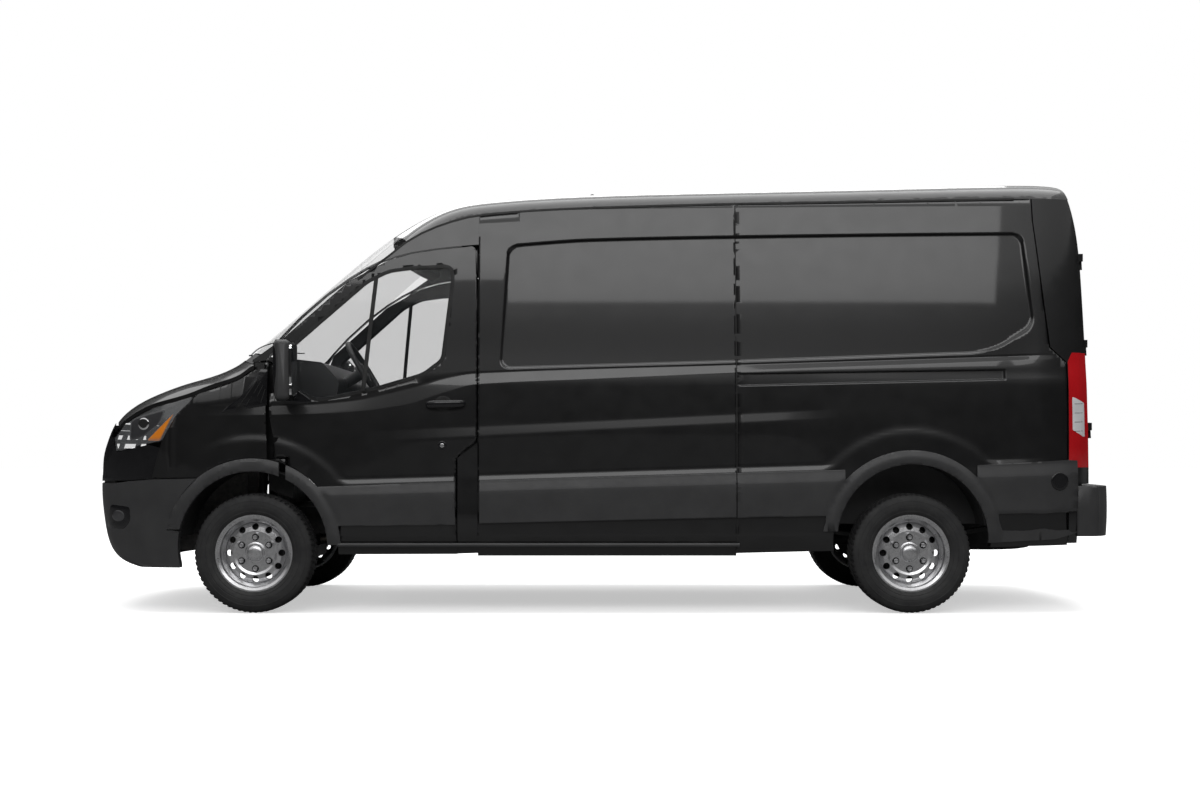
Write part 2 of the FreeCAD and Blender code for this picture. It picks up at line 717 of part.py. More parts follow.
def make_rear_bumper():
    ys = [k * 95.0 for k in range(-10, 11)]
    zs = [430, 470, 540, 620, 690, 730]
    rows = []
    for z in zs:
        row = []
        for y in ys:
            fall = 5.0e-5 * y * y + 95.0 * (abs(y) / 950.0) ** 14
            row.append(V(2990.5 - fall - 6.0 * ((z - 600) / 100.0) ** 2 * 0.4, y, z))
        rows.append(row)
    block = grid_face(rows).extrude(V(-210, 0, 0))
    block = block.common(box(2745, 3000, -940, 940, 440, 725))
    block = block.cut(box(2700, 2900, -900, 900, 400, 660)).cut(box(2700, 2797, -940, 940, 400, 730))
    keep("rear_bumper", biggest(block))


def pipe_run(points, r):
    parts_made = []
    for i in range(len(points) - 1):
        a = V(*points[i])
        b = V(*points[i + 1])
        parts_made.append(cyl(a, b - a, r, (b - a).Length))
        if i:
            parts_made.append(Part.makeSphere(r, a))
    return fuse(parts_made)


def make_underbody():
    rail_pts = [(-2840, 430), (-2840, 556.7), (-600, 556.7), (-440, 686), (2735, 686), (2735, 540),
                (-360, 540), (-520, 430)]
    rail = prism(rail_pts, 395, 470)
    beams = []
    for x in (-420, 300, 1020, 1420, 2140, 2500):
        beams.append(box(x - 35, x + 35, -396, 396, 610, 686))
    for x in (-420, 300, 1020, 2300, 2640):
        beams.append(box(x - 30, x + 30, 469, 900, 640, 686))
        beams.append(box(x - 30, x + 30, -900, -469, 640, 686))
    cradle = box(-2160, -1780, -470, 470, 250, 320)
    posts = [box(x, x + 60, y, y + 75, 300, 440) for x in (-2160, -1840) for y in (-470, 395)]
    nose_bar = box(-2840, -2785, -500, 500, 440, 545)
    spare_beam = box(2345, 2415, -396, 396, 610, 686)
    spare_rod = cyl(V(2380, 0, 410.3), V(0, 0, 1), 12, 210)
    rails = [rail, mirror(rail), cradle, nose_bar, spare_beam, spare_rod]
    keep("chassis_frame", fuse(rails + posts + beams))
    edge = [(-640, 938), (2050, 938), (2400, 925), (2600, 900)]
    load_pts = edge + [(x, -y) for x, y in reversed(edge)]
    load = prism_z(load_pts, FLOOR_TOP - FLOOR_THICK + 0.3, FLOOR_TOP)
    load = load.fuse(box(2590, 2689.7, -760, 760, FLOOR_TOP - FLOOR_THICK + 0.3, FLOOR_TOP))
    well_r = ARCH_R + 22
    for side in (1, -1):
        y0 = 696 if side > 0 else -1000
        load = load.cut(box(REAR_X - well_r, REAR_X + well_r, y0, y0 + 304, 600, 900))
    cab = box(-1927.7, -640, -849.7, 849.7, 557, CAB_FLOOR_TOP)
    cab = cab.cut(cyl_y(FRONT_X, ARCH_FRONT_Z, ARCH_R + 17.3, 556, 1000))
    cab = cab.cut(cyl_y(FRONT_X, ARCH_FRONT_Z, ARCH_R + 17.3, -1000, -556))
    cab = cab.cut(box(-802, -690, 780, 1000, 500, 620)).cut(box(-802, -690, -1000, -780, 500, 620))
    riser = box(-640, -606, -842, 842, 560, 700)
    bulk_low = box(-1960, -1927, -555, 555, 557, 849.7)
    keep("floor", fuse([load, cab, riser, bulk_low]))
    keep("engine", box(-2760, -2140, -300, 300, 320.3, 1050))
    gearbox = Part.makeCone(112, 84, 680, V(-2139.7, 0, 435), V(1, 0, 0))
    shaft_a = V(-1480, 0, 435)
    shaft_b = V(REAR_X - 150, 0, 372)
    shaft = cyl(shaft_a, shaft_b - shaft_a, 38, (shaft_b - shaft_a).Length)
    keep("driveline", fuse([gearbox, shaft]))
    hub_y = REAR_TRACK / 2 + 17.7
    axle = cyl_y(REAR_X, TYRE_R, 48, -742, 742).fuse(cyl_y(REAR_X, TYRE_R, 30, -hub_y, hub_y))
    case = Part.makeSphere(150, V(REAR_X, 0, TYRE_R))
    keep("rear_axle", fuse([axle, case]))
    spring = []
    for side in (1, -1):
        y = side * 560
        leaf = prism([(REAR_X - 640, 470), (REAR_X - 300, 420), (REAR_X, 390.3), (REAR_X + 330, 420),
                      (REAR_X + 700, 480), (REAR_X + 700, 505), (REAR_X + 330, 446),
                      (REAR_X, 424), (REAR_X - 300, 446), (REAR_X - 640, 495)], y - 35, y + 35)
        front_eye = box(REAR_X - 665, REAR_X - 605, y - 38, y + 38, 470, 640)
        rear_eye = box(REAR_X + 665, REAR_X + 725, y - 38, y + 38, 470, 640)
        link = box(REAR_X - 665, REAR_X - 605, min(side * 470, y), max(side * 470, y), 560, 640)
        link2 = box(REAR_X + 665, REAR_X + 725, min(side * 470, y), max(side * 470, y), 560, 640)
        spring.append(fuse([leaf, front_eye, rear_eye, link, link2]))
    keep("leaf_springs", Part.Compound([biggest(q) for q in spring]))
    tank = box(-380, 280, 110, 385, 330, 609.7)
    keep("fuel_tank", tank.makeFillet(40, tank.Edges[:4]))
    pipe = pipe_run([(-1700, -250, 390), (300, -250, 400), (1000, -300, 400), (1150, -560, 400),
                     (1180, -900, 400)], 28)
    muffler = cyl(V(-500, -250, 398), V(1, 0, 0), 95, 620)
    hanger_a = cyl(V(-420, -250, 480), V(0, 0, 1), 7, 129.7)
    hanger_b = cyl(V(300, -250, 410), V(0, 0, 1), 7, 199.7)
    keep("exhaust", fuse([pipe, muffler, hanger_a, hanger_b]))


def wheel_solid(cx, y_mid, spare=False):
    """Steel wheel, axis along Y, its disc's outer face to +Y."""
    rim_pts = [(RIM_R + 4.5, -89), (RIM_R + 4.5, -80), (RIM_R - 12, -74), (RIM_R - 14, -40),
               (RIM_R - 34, -20), (RIM_R - 34, 20), (RIM_R - 14, 40), (RIM_R - 12, 74),
               (RIM_R + 4.5, 80), (RIM_R + 4.5, 89), (RIM_R - 4, 89), (RIM_R - 19, 80),
               (RIM_R - 21, 44), (RIM_R - 41, 24), (RIM_R - 41, -24), (RIM_R - 21, -44),
               (RIM_R - 19, -80), (RIM_R - 4, -89)]
    disc_pts = [(0, 18), (0, 48), (44, 50), (48, 44), (62, 40), (112, 40), (126, 46), (150, 42),
                (168, 30), (RIM_R - 38, 16), (RIM_R - 38, 4), (165, 10), (146, 24), (124, 28),
                (60, 22)]
    solids = []
    for pts in (rim_pts, disc_pts):
        wire = Part.makePolygon([V(p[0], p[1], 0) for p in pts + [pts[0]]])
        solids.append(Part.Face(wire).revolve(V(0, 0, 0), V(0, 1, 0), 360))
    wheel = fuse(solids)
    for k in range(VENT_COUNT):
        a = 2 * math.pi * k / VENT_COUNT
        hole = cyl(V(VENT_CIRCLE * math.cos(a), -60, VENT_CIRCLE * math.sin(a)), V(0, 1, 0),
                   VENT_R, 160)
        wheel = wheel.cut(hole)
    nuts = []
    for k in range(STUD_COUNT):
        a = 2 * math.pi * (k + 0.5) / STUD_COUNT
        nuts.append(cyl(V(STUD_PCD / 2 * math.cos(a), 36, STUD_PCD / 2 * math.sin(a)),
                        V(0, 1, 0), 12, 22))
    wheel = fuse([wheel] + nuts)
    wheel.translate(V(cx, y_mid, TYRE_R))
    return wheel


def tyre_solid(cx, y_mid):
    half = TYRE_W / 2
    seat = RIM_R + 4.8
    pts = [(seat, -90), (250, -104), (285, -half), (318, -101), (336, -88), (TYRE_R, -70),
           (TYRE_R, 70), (336, 88), (318, 101), (285, half), (250, 104), (seat, 90),
           (seat, 79.7), (RIM_R - 8, 72), (RIM_R - 8, -72), (seat, -79.7)]
    wire = Part.makePolygon([V(p[0], p[1], 0) for p in pts + [pts[0]]])
    tyre = Part.Face(wire).revolve(V(0, 0, 0), V(0, 1, 0), 360)
    tyre.translate(V(cx, y_mid, TYRE_R))
    return tyre


KING_TOP = V(0, 640, 900)
KING_LOW = V(0, 800, 230)


def king_point(z):
    t = (z - KING_LOW.z) / (KING_TOP.z - KING_LOW.z)
    return V(FRONT_X, KING_LOW.y + (KING_TOP.y - KING_LOW.y) * t, z)


def make_front_suspension():
    """Upright of the right front wheel; the lower arm and the strut stay with the body."""
    low = king_point(248)
    top = king_point(455)
    up = top - low
    upright = cyl(low, up, 30, up.Length)
    spindle = cyl_y(FRONT_X, TYRE_R, 30, 770, FRONT_TRACK / 2 + 17.7)
    arm = box(FRONT_X, FRONT_X + 150, 742, 772, 330, 356)
    keep("knuckle_right", fuse([upright, spindle, arm]))
    keep("knuckle_left", mirror(nodes["knuckle_right"]))
    strut_low = king_point(455.4)
    strut_top = king_point(812)
    up = strut_top - strut_low
    strut = cyl(strut_low, up, 26, up.Length)
    pan = cyl(king_point(600), up, 44, 14)
    link_end = king_point(247.6)
    d = (king_point(200) - link_end)
    stub = cyl(link_end, d, 26, 30)
    arm_low = box(FRONT_X - 45, FRONT_X + 45, 470.3, 815, 205, 232)
    arm_up = box(FRONT_X - 45, FRONT_X + 45, 470.3, 500, 205, 315)
    lower = fuse([stub, arm_low, arm_up])
    keep("front_suspension", both(Part.Compound(lower.Solids + [fuse([strut, pan])])))


def make_wheels():
    spots = {"front": (FRONT_X, FRONT_TRACK / 2), "rear": (REAR_X, REAR_TRACK / 2)}
    for name, (cx, y) in spots.items():
        wheel = wheel_solid(cx, y)
        tyre = tyre_solid(cx, y)
        keep("wheel_%s_right" % name, wheel)
        keep("wheel_%s_left" % name, mirror(wheel))
        keep("tyre_%s_right" % name, tyre)
        keep("tyre_%s_left" % name, mirror(tyre))
    spare_rim = wheel_solid(0, 0)
    spare_rim.translate(V(0, 0, -TYRE_R))
    spare_tyre = tyre_solid(0, 0)
    spare_tyre.translate(V(0, 0, -TYRE_R))
    placed = []
    for shape in (spare_rim, spare_tyre):
        shape.rotate(V(0, 0, 0), V(1, 0, 0), -90)
        shape.translate(V(2380, 0, 428))
        placed.append(shape)
    keep("spare_wheel", Part.Compound([placed[0].Solids[0], placed[1].Solids[0]]))


def make_liners():
    front = cyl_y(FRONT_X, ARCH_FRONT_Z, ARCH_R + 17, 556.3, 900)
    front = front.cut(cyl_y(FRONT_X, ARCH_FRONT_Z, ARCH_R + 10, 500, 1000))
    front = front.common(box(-2500, -1400, 500, 1000, 430, 900))
    rear = cyl_y(REAR_X, ARCH_REAR_Z, ARCH_R + 17, 696, 925)
    rear = rear.cut(cyl_y(REAR_X, ARCH_REAR_Z, ARCH_R + 10, 703, 1000))
    rear = rear.common(box(1200, 2400, 600, 1000, 500, 900))
    keep("wheel_housings", both(Part.Compound([biggest(front), biggest(rear)])))


def make_cab_inside():
    profile = [(-1927.7, 1070), (-1927.7, 1400), (-1790, 1462, 60), (-1600, 1440, 40),
               (-1500, 1330, 60), (-1530, 1180, 60), (-1640, 1000, 40), (-1660, 820, 40),
               (-1800, 820, 20), (-1800, 1070)]
    keep("dashboard", prism(profile, -811.7, 811.7))
    wheel_axis = V(1.0, 0, 0.62)
    wheel_axis.normalize()
    centre = V(-1400, -450, 1405)
    rim = Part.makeTorus(190, 16, centre, wheel_axis)
    hub = cyl(centre - wheel_axis * 45, wheel_axis, 55, 50)
    spokes = []
    for a in (0, 120, 240):
        bar = box(0, 182, -13, 13, -12, 0)
        bar.rotate(V(0, 0, 0), V(0, 0, 1), a + 90)
        place = FreeCAD.Placement(centre - wheel_axis * 10,
                                  FreeCAD.Rotation(V(0, 0, 1), wheel_axis))
        bar.Placement = place.multiply(bar.Placement)
        spokes.append(bar)
    column = cyl(centre - wheel_axis * 44, wheel_axis * -1, 34, 190)
    column = column.cut(prism([(p[0], p[1]) for p in profile], -850, -50, 0.3))
    keep("steering_wheel", biggest(fuse([rim, hub, column] + spokes)))
    seats = []
    for y0, y1 in ((-730, -250), (-130, 380), (390, 740)):
        side = [(-1200, 590.3), (-1255, 960), (-1235, 1015, 20), (-870, 985, 60),
                (-790, 1555, 40), (-692, 1560, 30), (-765, 880), (-780, 590.3)]
        seats.append(prism(side, y0, y1))
        head = box(-775, -705, (y0 + y1) / 2 - 120, (y0 + y1) / 2 + 120, 1550, 1740)
        seats.append(head)
    pairs = [fuse(seats[k:k + 2]) for k in (0, 2, 4)]
    keep("seats", pairs[0].fuse(pairs[1]).fuse(pairs[2]))


def on_screen(x, y, lift):
    return V(x + bow(y), y, front_top(x + bow(y), y) + lift)


def make_wipers():
    sweep = smooth([(0, -2116), (120, -2085), (330, -2050), (560, -2015)])
    arms = []
    for y0 in (-640, 60):
        run = [on_screen(sweep(70.0 * k), y0 + 70.0 * k, 8.5) for k in range(9)]
        pivot = cyl(on_screen(-2116, y0, 4.5), V(0, 0, 1), 11, 8)
        arms.append(fuse([pipe_run([tuple(p) for p in run], 4), pivot]))
    keep("wipers", Part.Compound([arms[0].Solids[0], arms[1].Solids[0]]))


def main():
    slab = side_slab(0, WALL)
    clad = side_slab(-22, -0.5)
    make_bonnet()
    make_cowl()
    make_windscreen()
    make_bumper()
    make_nose()
    make_lamps()
    make_wings(slab)
    make_flares(clad)
    make_doors(slab, clad)
    make_sides(slab)
    make_roofs()
    keep("cab_frame", make_cab_frame(slab))
    lamp = make_tail_lamps(slab)
    keep("tail_lamps", both(lamp))
    post = make_rear_frame(slab).cut(lamp)
    post = biggest(post)
    keep("rear_frame", fuse([post, mirror(post)] + rear_bars()))
    make_rear_doors()
    make_rear_bumper()
    make_underbody()
    make_front_suspension()
    make_wheels()
    make_liners()
    make_cab_inside()
    make_wipers()
    os.makedirs("parts", exist_ok=True)
    for name, shape in nodes.items():
        shape.exportStep("parts/%s.step" % name)
        print(name, len(shape.Solids), round(shape.Volume / 1e6, 1), shape.isValid())


main()
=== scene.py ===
import math

import bmesh
import bpy
from mathutils import Matrix, Vector
from mathutils.bvhtree import BVHTree
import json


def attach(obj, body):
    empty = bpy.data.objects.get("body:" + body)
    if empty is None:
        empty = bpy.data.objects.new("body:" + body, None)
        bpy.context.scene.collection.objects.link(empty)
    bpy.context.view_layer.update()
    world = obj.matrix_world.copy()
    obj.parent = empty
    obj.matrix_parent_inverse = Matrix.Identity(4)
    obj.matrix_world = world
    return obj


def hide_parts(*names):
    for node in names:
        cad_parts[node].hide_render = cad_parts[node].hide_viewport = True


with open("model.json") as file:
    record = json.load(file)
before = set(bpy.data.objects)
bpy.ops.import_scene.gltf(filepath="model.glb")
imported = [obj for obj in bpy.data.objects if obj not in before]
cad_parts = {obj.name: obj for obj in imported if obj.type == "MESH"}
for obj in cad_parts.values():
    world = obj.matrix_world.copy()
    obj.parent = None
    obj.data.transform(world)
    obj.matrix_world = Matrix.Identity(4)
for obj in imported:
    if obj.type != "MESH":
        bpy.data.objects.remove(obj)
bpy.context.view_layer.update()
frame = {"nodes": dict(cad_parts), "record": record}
nodes = frame["nodes"]

# Places that the pieces share, in metres
FRONT_X = -1.9675
REAR_X = 1.7825
FRONT_Y = 0.866
REAR_Y = 0.8715
TYRE_R = 0.342
RIM_R = 0.216
STUD_CIRCLE = 0.090
STUD_COUNT = 6

SIDES = {"left": -1.0, "right": 1.0}
CORNERS = (
    (FRONT_X, -FRONT_Y, -1.0, "wheel_fl", "front_left"),
    (FRONT_X, FRONT_Y, 1.0, "wheel_fr", "front_right"),
    (REAR_X, -REAR_Y, -1.0, "wheel_rl", "rear_left"),
    (REAR_X, REAR_Y, 1.0, "wheel_rr", "rear_right"),
)


# Materials

NOISE_LOW = 0.3
NOISE_HIGH = 0.7


def shader(name):
    mat = bpy.data.materials.new(name)
    mat.use_nodes = True
    tree = mat.node_tree
    return mat, tree, tree.nodes["Principled BSDF"]


def add(tree, kind, **values):
    node = tree.nodes.new(kind)
    for key, value in values.items():
        setattr(node, key, value)
    return node


def put(node, values):
    """Set the node's inputs by their names."""
    for key, value in values.items():
        node.inputs[key].default_value = value


def noise(tree, scale, detail):
    """Noise in the object's own coordinates."""
    place = add(tree, "ShaderNodeTexCoord")
    node = add(tree, "ShaderNodeTexNoise")
    put(node, {"Scale": scale, "Detail": detail})
    tree.links.new(place.outputs["Object"], node.inputs["Vector"])
    return node.outputs["Fac"]


def span(tree, source, low, high):
    """Carry the middle of a noise over to the range from low to high."""
    node = add(tree, "ShaderNodeMapRange")
    put(node, {"From Min": NOISE_LOW, "From Max": NOISE_HIGH, "To Min": low, "To Max": high})
    tree.links.new(source, node.inputs["Value"])
    return node.outputs["Result"]


def blend_colours(tree, source, dark, light, a=NOISE_LOW, b=NOISE_HIGH):
    node = add(tree, "ShaderNodeValToRGB")
    node.color_ramp.elements[0].position = a
    node.color_ramp.elements[0].color = (*dark, 1.0)
    node.color_ramp.elements[1].position = b
    node.color_ramp.elements[1].color = (*light, 1.0)
    tree.links.new(source, node.inputs["Fac"])
    return node.outputs["Color"]


def relief(tree, bsdf, source, strength, distance):
    node = add(tree, "ShaderNodeBump")
    put(node, {"Strength": strength, "Distance": distance})
    tree.links.new(source, node.inputs["Height"])
    tree.links.new(node.outputs["Normal"], bsdf.inputs["Normal"])
    return node


def cover(tree, bsdf, dark, light, grain, rough_low, rough_high, rough_grain):
    """Base colour and roughness, each varied by its own noise of (scale, detail)."""
    tree.links.new(blend_colours(tree, noise(tree, *grain), dark, light),
                   bsdf.inputs["Base Color"])
    tree.links.new(span(tree, noise(tree, *rough_grain), rough_low, rough_high),
                   bsdf.inputs["Roughness"])


def paint():
    """Black gloss paint with a faint orange peel under a clear coat."""
    mat, tree, bsdf = shader("black_paint")
    cover(tree, bsdf, (0.0030, 0.0030, 0.0033), (0.0042, 0.0042, 0.0046), (3.0, 3.0),
          0.32, 0.40, (9.0, 5.0))
    put(bsdf, {"Specular IOR Level": 0.35, "Coat Weight": 1.0, "Coat Roughness": 0.035,
               "Coat IOR": 1.38})
    peel = relief(tree, bsdf, noise(tree, 260.0, 1.0), 0.05, 0.0002)
    tree.links.new(peel.outputs["Normal"], bsdf.inputs["Coat Normal"])
    return mat


def moulded(name, dark, light, rough_low, rough_high, grain=900.0, depth=0.0003, strength=0.25):
    """Grained moulded plastic."""
    mat, tree, bsdf = shader(name)
    cover(tree, bsdf, dark, light, (6.0, 6.0), rough_low, rough_high, (25.0, 5.0))
    put(bsdf, {"Specular IOR Level": 0.4})
    relief(tree, bsdf, noise(tree, grain, 2.0), strength, depth)
    return mat


def glass(name, tint, alpha):
    """Thin tinted pane that lets the far side show."""
    mat, tree, bsdf = shader(name)
    cover(tree, bsdf, tint, tuple(c * 1.15 for c in tint), (2.0, 4.0), 0.01, 0.03, (14.0, 4.0))
    put(bsdf, {"IOR": 1.5, "Alpha": alpha})
    return mat


def metal(name, dark, light, rough_low, rough_high, metallic=1.0, grain=40.0, depth=0.0002):
    """Bare or painted metal, a little uneven in colour and shine."""
    mat, tree, bsdf = shader(name)
    cover(tree, bsdf, dark, light, (grain, 6.0), rough_low, rough_high, (grain * 2.3, 5.0))
    put(bsdf, {"Metallic": metallic})
    relief(tree, bsdf, noise(tree, grain * 6.0, 3.0), 0.15, depth)
    return mat


def rubber():
    mat, tree, bsdf = shader("tyre_rubber")
    cover(tree, bsdf, (0.017, 0.017, 0.018), (0.030, 0.030, 0.030), (12.0, 6.0),
          0.55, 0.75, (40.0, 5.0))
    put(bsdf, {"Specular IOR Level": 0.35})
    relief(tree, bsdf, noise(tree, 600.0, 2.0), 0.2, 0.0003)
    return mat


def cloth():
    """Woven seat cloth: crossed threads with a little colour change."""
    mat, tree, bsdf = shader("seat_cloth")
    place = add(tree, "ShaderNodeTexCoord")
    heights = []
    for axis in ("X", "Z"):
        wave = add(tree, "ShaderNodeTexWave", bands_direction=axis)
        put(wave, {"Scale": 130.0, "Distortion": 0.6})
        tree.links.new(place.outputs["Object"], wave.inputs["Vector"])
        heights.append(wave.outputs["Fac"])
    cross = add(tree, "ShaderNodeMath", operation="MULTIPLY")
    tree.links.new(heights[0], cross.inputs[0])
    tree.links.new(heights[1], cross.inputs[1])
    tree.links.new(blend_colours(tree, cross.outputs[0], (0.020, 0.020, 0.022),
                                 (0.050, 0.050, 0.053), 0.1, 0.8), bsdf.inputs["Base Color"])
    put(bsdf, {"Roughness": 0.92, "Sheen Weight": 0.25, "Sheen Roughness": 0.5})
    relief(tree, bsdf, cross.outputs[0], 0.4, 0.0006)
    return mat


MATS = {
    "body_black": paint(),
    "floor_paint": moulded("floor_paint", (0.012, 0.012, 0.013), (0.02, 0.02, 0.021), 0.4, 0.6),
    "dark_plastic": moulded("dark_plastic", (0.030, 0.030, 0.031), (0.040, 0.040, 0.041),
                            0.42, 0.52),
    "gloss_trim": moulded("gloss_trim", (0.008, 0.008, 0.009), (0.012, 0.012, 0.013),
                          0.12, 0.2, depth=0.0001, strength=0.05),
    "tinted_glass": glass("tinted_glass", (0.03, 0.033, 0.035), 0.14),
    "lamp_clear": glass("lamp_clear", (0.35, 0.36, 0.37), 0.22),
    "lamp_red": moulded("lamp_red", (0.45, 0.008, 0.012), (0.52, 0.012, 0.016), 0.06, 0.1,
                        depth=0.0001, strength=0.05),
    "frame_steel": metal("frame_steel", (0.02, 0.02, 0.021), (0.035, 0.034, 0.033), 0.5, 0.7,
                         metallic=0.3),
    "engine_iron": metal("engine_iron", (0.10, 0.10, 0.10), (0.16, 0.155, 0.15), 0.5, 0.7,
                         metallic=0.8),
    "exhaust_steel": metal("exhaust_steel", (0.25, 0.22, 0.19), (0.42, 0.38, 0.33), 0.35, 0.55),
    "wheel_steel": metal("wheel_steel", (0.55, 0.55, 0.56), (0.68, 0.68, 0.69), 0.26, 0.36,
                         grain=60.0, depth=0.00008),
    "tyre_rubber": rubber(),
    "seat_cloth": cloth(),
    "chrome": metal("chrome", (0.75, 0.75, 0.76), (0.85, 0.85, 0.86), 0.05, 0.1, grain=20.0,
                    depth=0.00002),
    "amber": moulded("amber", (0.75, 0.22, 0.02), (0.85, 0.30, 0.03), 0.12, 0.2,
                     depth=0.0001, strength=0.05),
    "lamp_smoke": moulded("lamp_smoke", (0.030, 0.030, 0.032), (0.055, 0.055, 0.058), 0.06, 0.12,
                          depth=0.0001, strength=0.05),
    "lamp_pale": moulded("lamp_pale", (0.62, 0.62, 0.63), (0.78, 0.78, 0.79), 0.08, 0.14,
                         depth=0.0001, strength=0.05),
    "mirror_glass": metal("mirror_glass", (0.80, 0.81, 0.82), (0.86, 0.87, 0.88), 0.01, 0.02,
                          grain=8.0, depth=0.00001),
    "seal": moulded("seal_rubber", (0.006, 0.006, 0.006), (0.010, 0.010, 0.010), 0.55, 0.7),
}


def dress():
    """Every carried-over solid takes the material its slot names."""
    slots = {p["node"]: p["material_slot"] for p in frame["record"]["subparts"]}
    for name, obj in nodes.items():
        obj.data.materials.clear()
        obj.data.materials.append(MATS[slots[name]])


# Mesh helpers

def new_object(name, data):
    obj = bpy.data.objects.new(name, data)
    bpy.context.scene.collection.objects.link(obj)
    return obj


def piece(name, verts, faces, mat, body, smooth=True, angle=35.0):
    """New piece that rides on a body; returns it."""
    mesh = bpy.data.meshes.new(name)
    mesh.from_pydata([tuple(v) for v in verts], [], faces)
    mesh.validate()
    mesh.update()
    obj = new_object(name, mesh)
    mesh.materials.append(MATS[mat])
    if smooth:
        shade_smooth(mesh, angle)
    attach(obj, body)
    return obj


def rework(mesh, weld=0.0, sliver=0.0, bevel=0.0, outward=True):
    """Weld points, clear slivers, bevel, and turn the faces outward, as asked for."""
    work = bmesh.new()
    work.from_mesh(mesh)
    if weld:
        bmesh.ops.remove_doubles(work, verts=work.verts, dist=weld)
    if sliver:
        bmesh.ops.dissolve_degenerate(work, edges=work.edges, dist=sliver)
    if bevel:
        bmesh.ops.bevel(work, geom=work.edges[:], offset=bevel, segments=3, affect="EDGES")
    if outward:
        bmesh.ops.recalc_face_normals(work, faces=work.faces)
    work.to_mesh(mesh)
    work.free()


def shade_smooth(mesh, angle):
    """Smooth shading, with edges sharper than the angle left sharp."""
    mesh.polygons.foreach_set("use_smooth", [True] * len(mesh.polygons))
    mesh.set_sharp_from_angle(angle=math.radians(angle))


def loft(rows, width, closed=True):
    """Quads between rows of as many points each, all the way round when they are closed."""
    last = width if closed else width - 1
    return [(r * width + i, r * width + (i + 1) % width, (r + 1) * width + (i + 1) % width,
             (r + 1) * width + i) for r in range(rows - 1) for i in range(last)]


def cap(row, width):
    """One face over a row of points."""
    return tuple(row * width + i for i in range(width))


def ring_faces(count, width, flip):
    """Quads of a profile turned about the wheel's axis."""
    faces = []
    for k in range(count):
        n = (k + 1) % count
        for j in range(width - 1):
            quad = (k * width + j, k * width + j + 1, n * width + j + 1, n * width + j)
            faces.append(quad[::-1] if flip else quad)
    return faces


# Tyres with grooves, blocks and sidewall rings; lengths here are in metres

# Blocks round the tyre, and where the slots of each begin and end as shares of its length
PITCHES = 66
MARKS = (0.0, 0.10, 0.13, 0.50, 0.53)
GROOVE_DEEP = 0.0075
SHOULDER_SLOT_DEEP = 0.006
BLOCK_SLOT_DEEP = 0.004
TREAD_SKEW = 0.45 / 0.07


def tyre_profile():
    """Half section from the bead to the middle, and its mirror image, as (radius, distance)."""
    wall = [(RIM_R + 0.0048, 0.080), (RIM_R + 0.0050, 0.0885), (0.228, 0.0945), (0.236, 0.0990),
            (0.2405, 0.1015), (0.2435, 0.1008), (0.250, 0.1038), (0.262, 0.1063),
            (0.268, 0.1068), (0.2695, 0.1058), (0.2715, 0.1058), (0.273, 0.1070),
            (0.285, 0.1072), (0.297, 0.1058), (0.2985, 0.1066), (0.3015, 0.1062),
            (0.303, 0.1046), (0.313, 0.1022), (0.322, 0.0985), (0.330, 0.0935),
            (0.3365, 0.0870), (0.3400, 0.0790)]
    tread = []
    for y in (0.070, 0.0505, 0.0495, 0.0435, 0.0425, 0.0225, 0.0215, 0.0155, 0.0145):
        deep = 0.0435 <= y <= 0.0495 or 0.0155 <= y <= 0.0215
        tread.append((TYRE_R - 0.0010 - 0.16 * y * y - (GROOVE_DEEP if deep else 0.0), y))
    half = wall + tread
    return half + [(r, -y) for r, y in half[::-1]]


def make_tyre(cx, cy, side, body, tail):
    """Tyre with slanted slots across its shoulders and its ribs."""
    profile = tyre_profile()
    count = PITCHES * len(MARKS)
    verts = []
    for k in range(count):
        slot_on = k % len(MARKS) in (0, 1)
        turn = (k // len(MARKS) + MARKS[k % len(MARKS)]) / PITCHES
        for r, y in profile:
            skew = TREAD_SKEW * y / PITCHES
            a = 2.0 * math.pi * (turn + (skew if abs(y) < 0.075 else skew * 0.9))
            if slot_on and abs(y) > 0.052 and r > 0.333:
                r -= SHOULDER_SLOT_DEEP
            if slot_on and 0.0225 <= abs(y) <= 0.0425 and r > 0.339:
                r -= BLOCK_SLOT_DEEP
            verts.append((cx + r * math.cos(a), cy + side * y, TYRE_R + r * math.sin(a)))
    faces = ring_faces(count, len(profile), side < 0)
    obj = piece("tyre_tread_" + tail, verts, faces, "tyre_rubber", body, angle=28.0)
    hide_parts("tyre_" + tail)


def disc_stack(profile, cx, cy, cz, side, count):
    """A turned piece closed at its outer end, its profile of (radius, outward distance)."""
    verts = []
    for k in range(count):
        a = 2.0 * math.pi * k / count
        verts += [(cx + r * math.cos(a), cy + side * out, cz + r * math.sin(a))
                  for r, out in profile]
    w = len(profile)
    faces = ring_faces(count, w, side > 0)
    tip = len(verts)
    verts.append((cx, cy + side * profile[-1][1], cz))
    for k in range(count):
        n = (k + 1) % count
        tri = (k * w + w - 1, tip, n * w + w - 1)
        faces.append(tri[::-1] if side < 0 else tri)
    return verts, faces


CAP_PROFILE = ((0.0545, 0.040), (0.0545, 0.052), (0.0520, 0.0545), (0.0480, 0.0545),
               (0.0465, 0.0520), (0.0455, 0.0520), (0.0440, 0.0560), (0.0400, 0.0600),
               (0.0250, 0.0640), (0.0120, 0.0652))
DISC_PROFILE = ((0.060, -0.022), (0.152, -0.022), (0.152, -0.006), (0.148, -0.003),
                (0.060, -0.003))
COLLAR_PROFILE = ((0.0200, 0.0400), (0.0200, 0.0425), (0.0170, 0.0440))
NUT_ROWS = ((0.0445, 0.0142), (0.0590, 0.0142), (0.0625, 0.0118), (0.0632, 0.0070),
            (0.0600, 0.0062))


def gather(verts, faces, more_verts, more_faces):
    """Add one small form to a piece that holds several."""
    base = len(verts)
    verts += more_verts
    faces += [tuple(base + i for i in face) for face in more_faces]


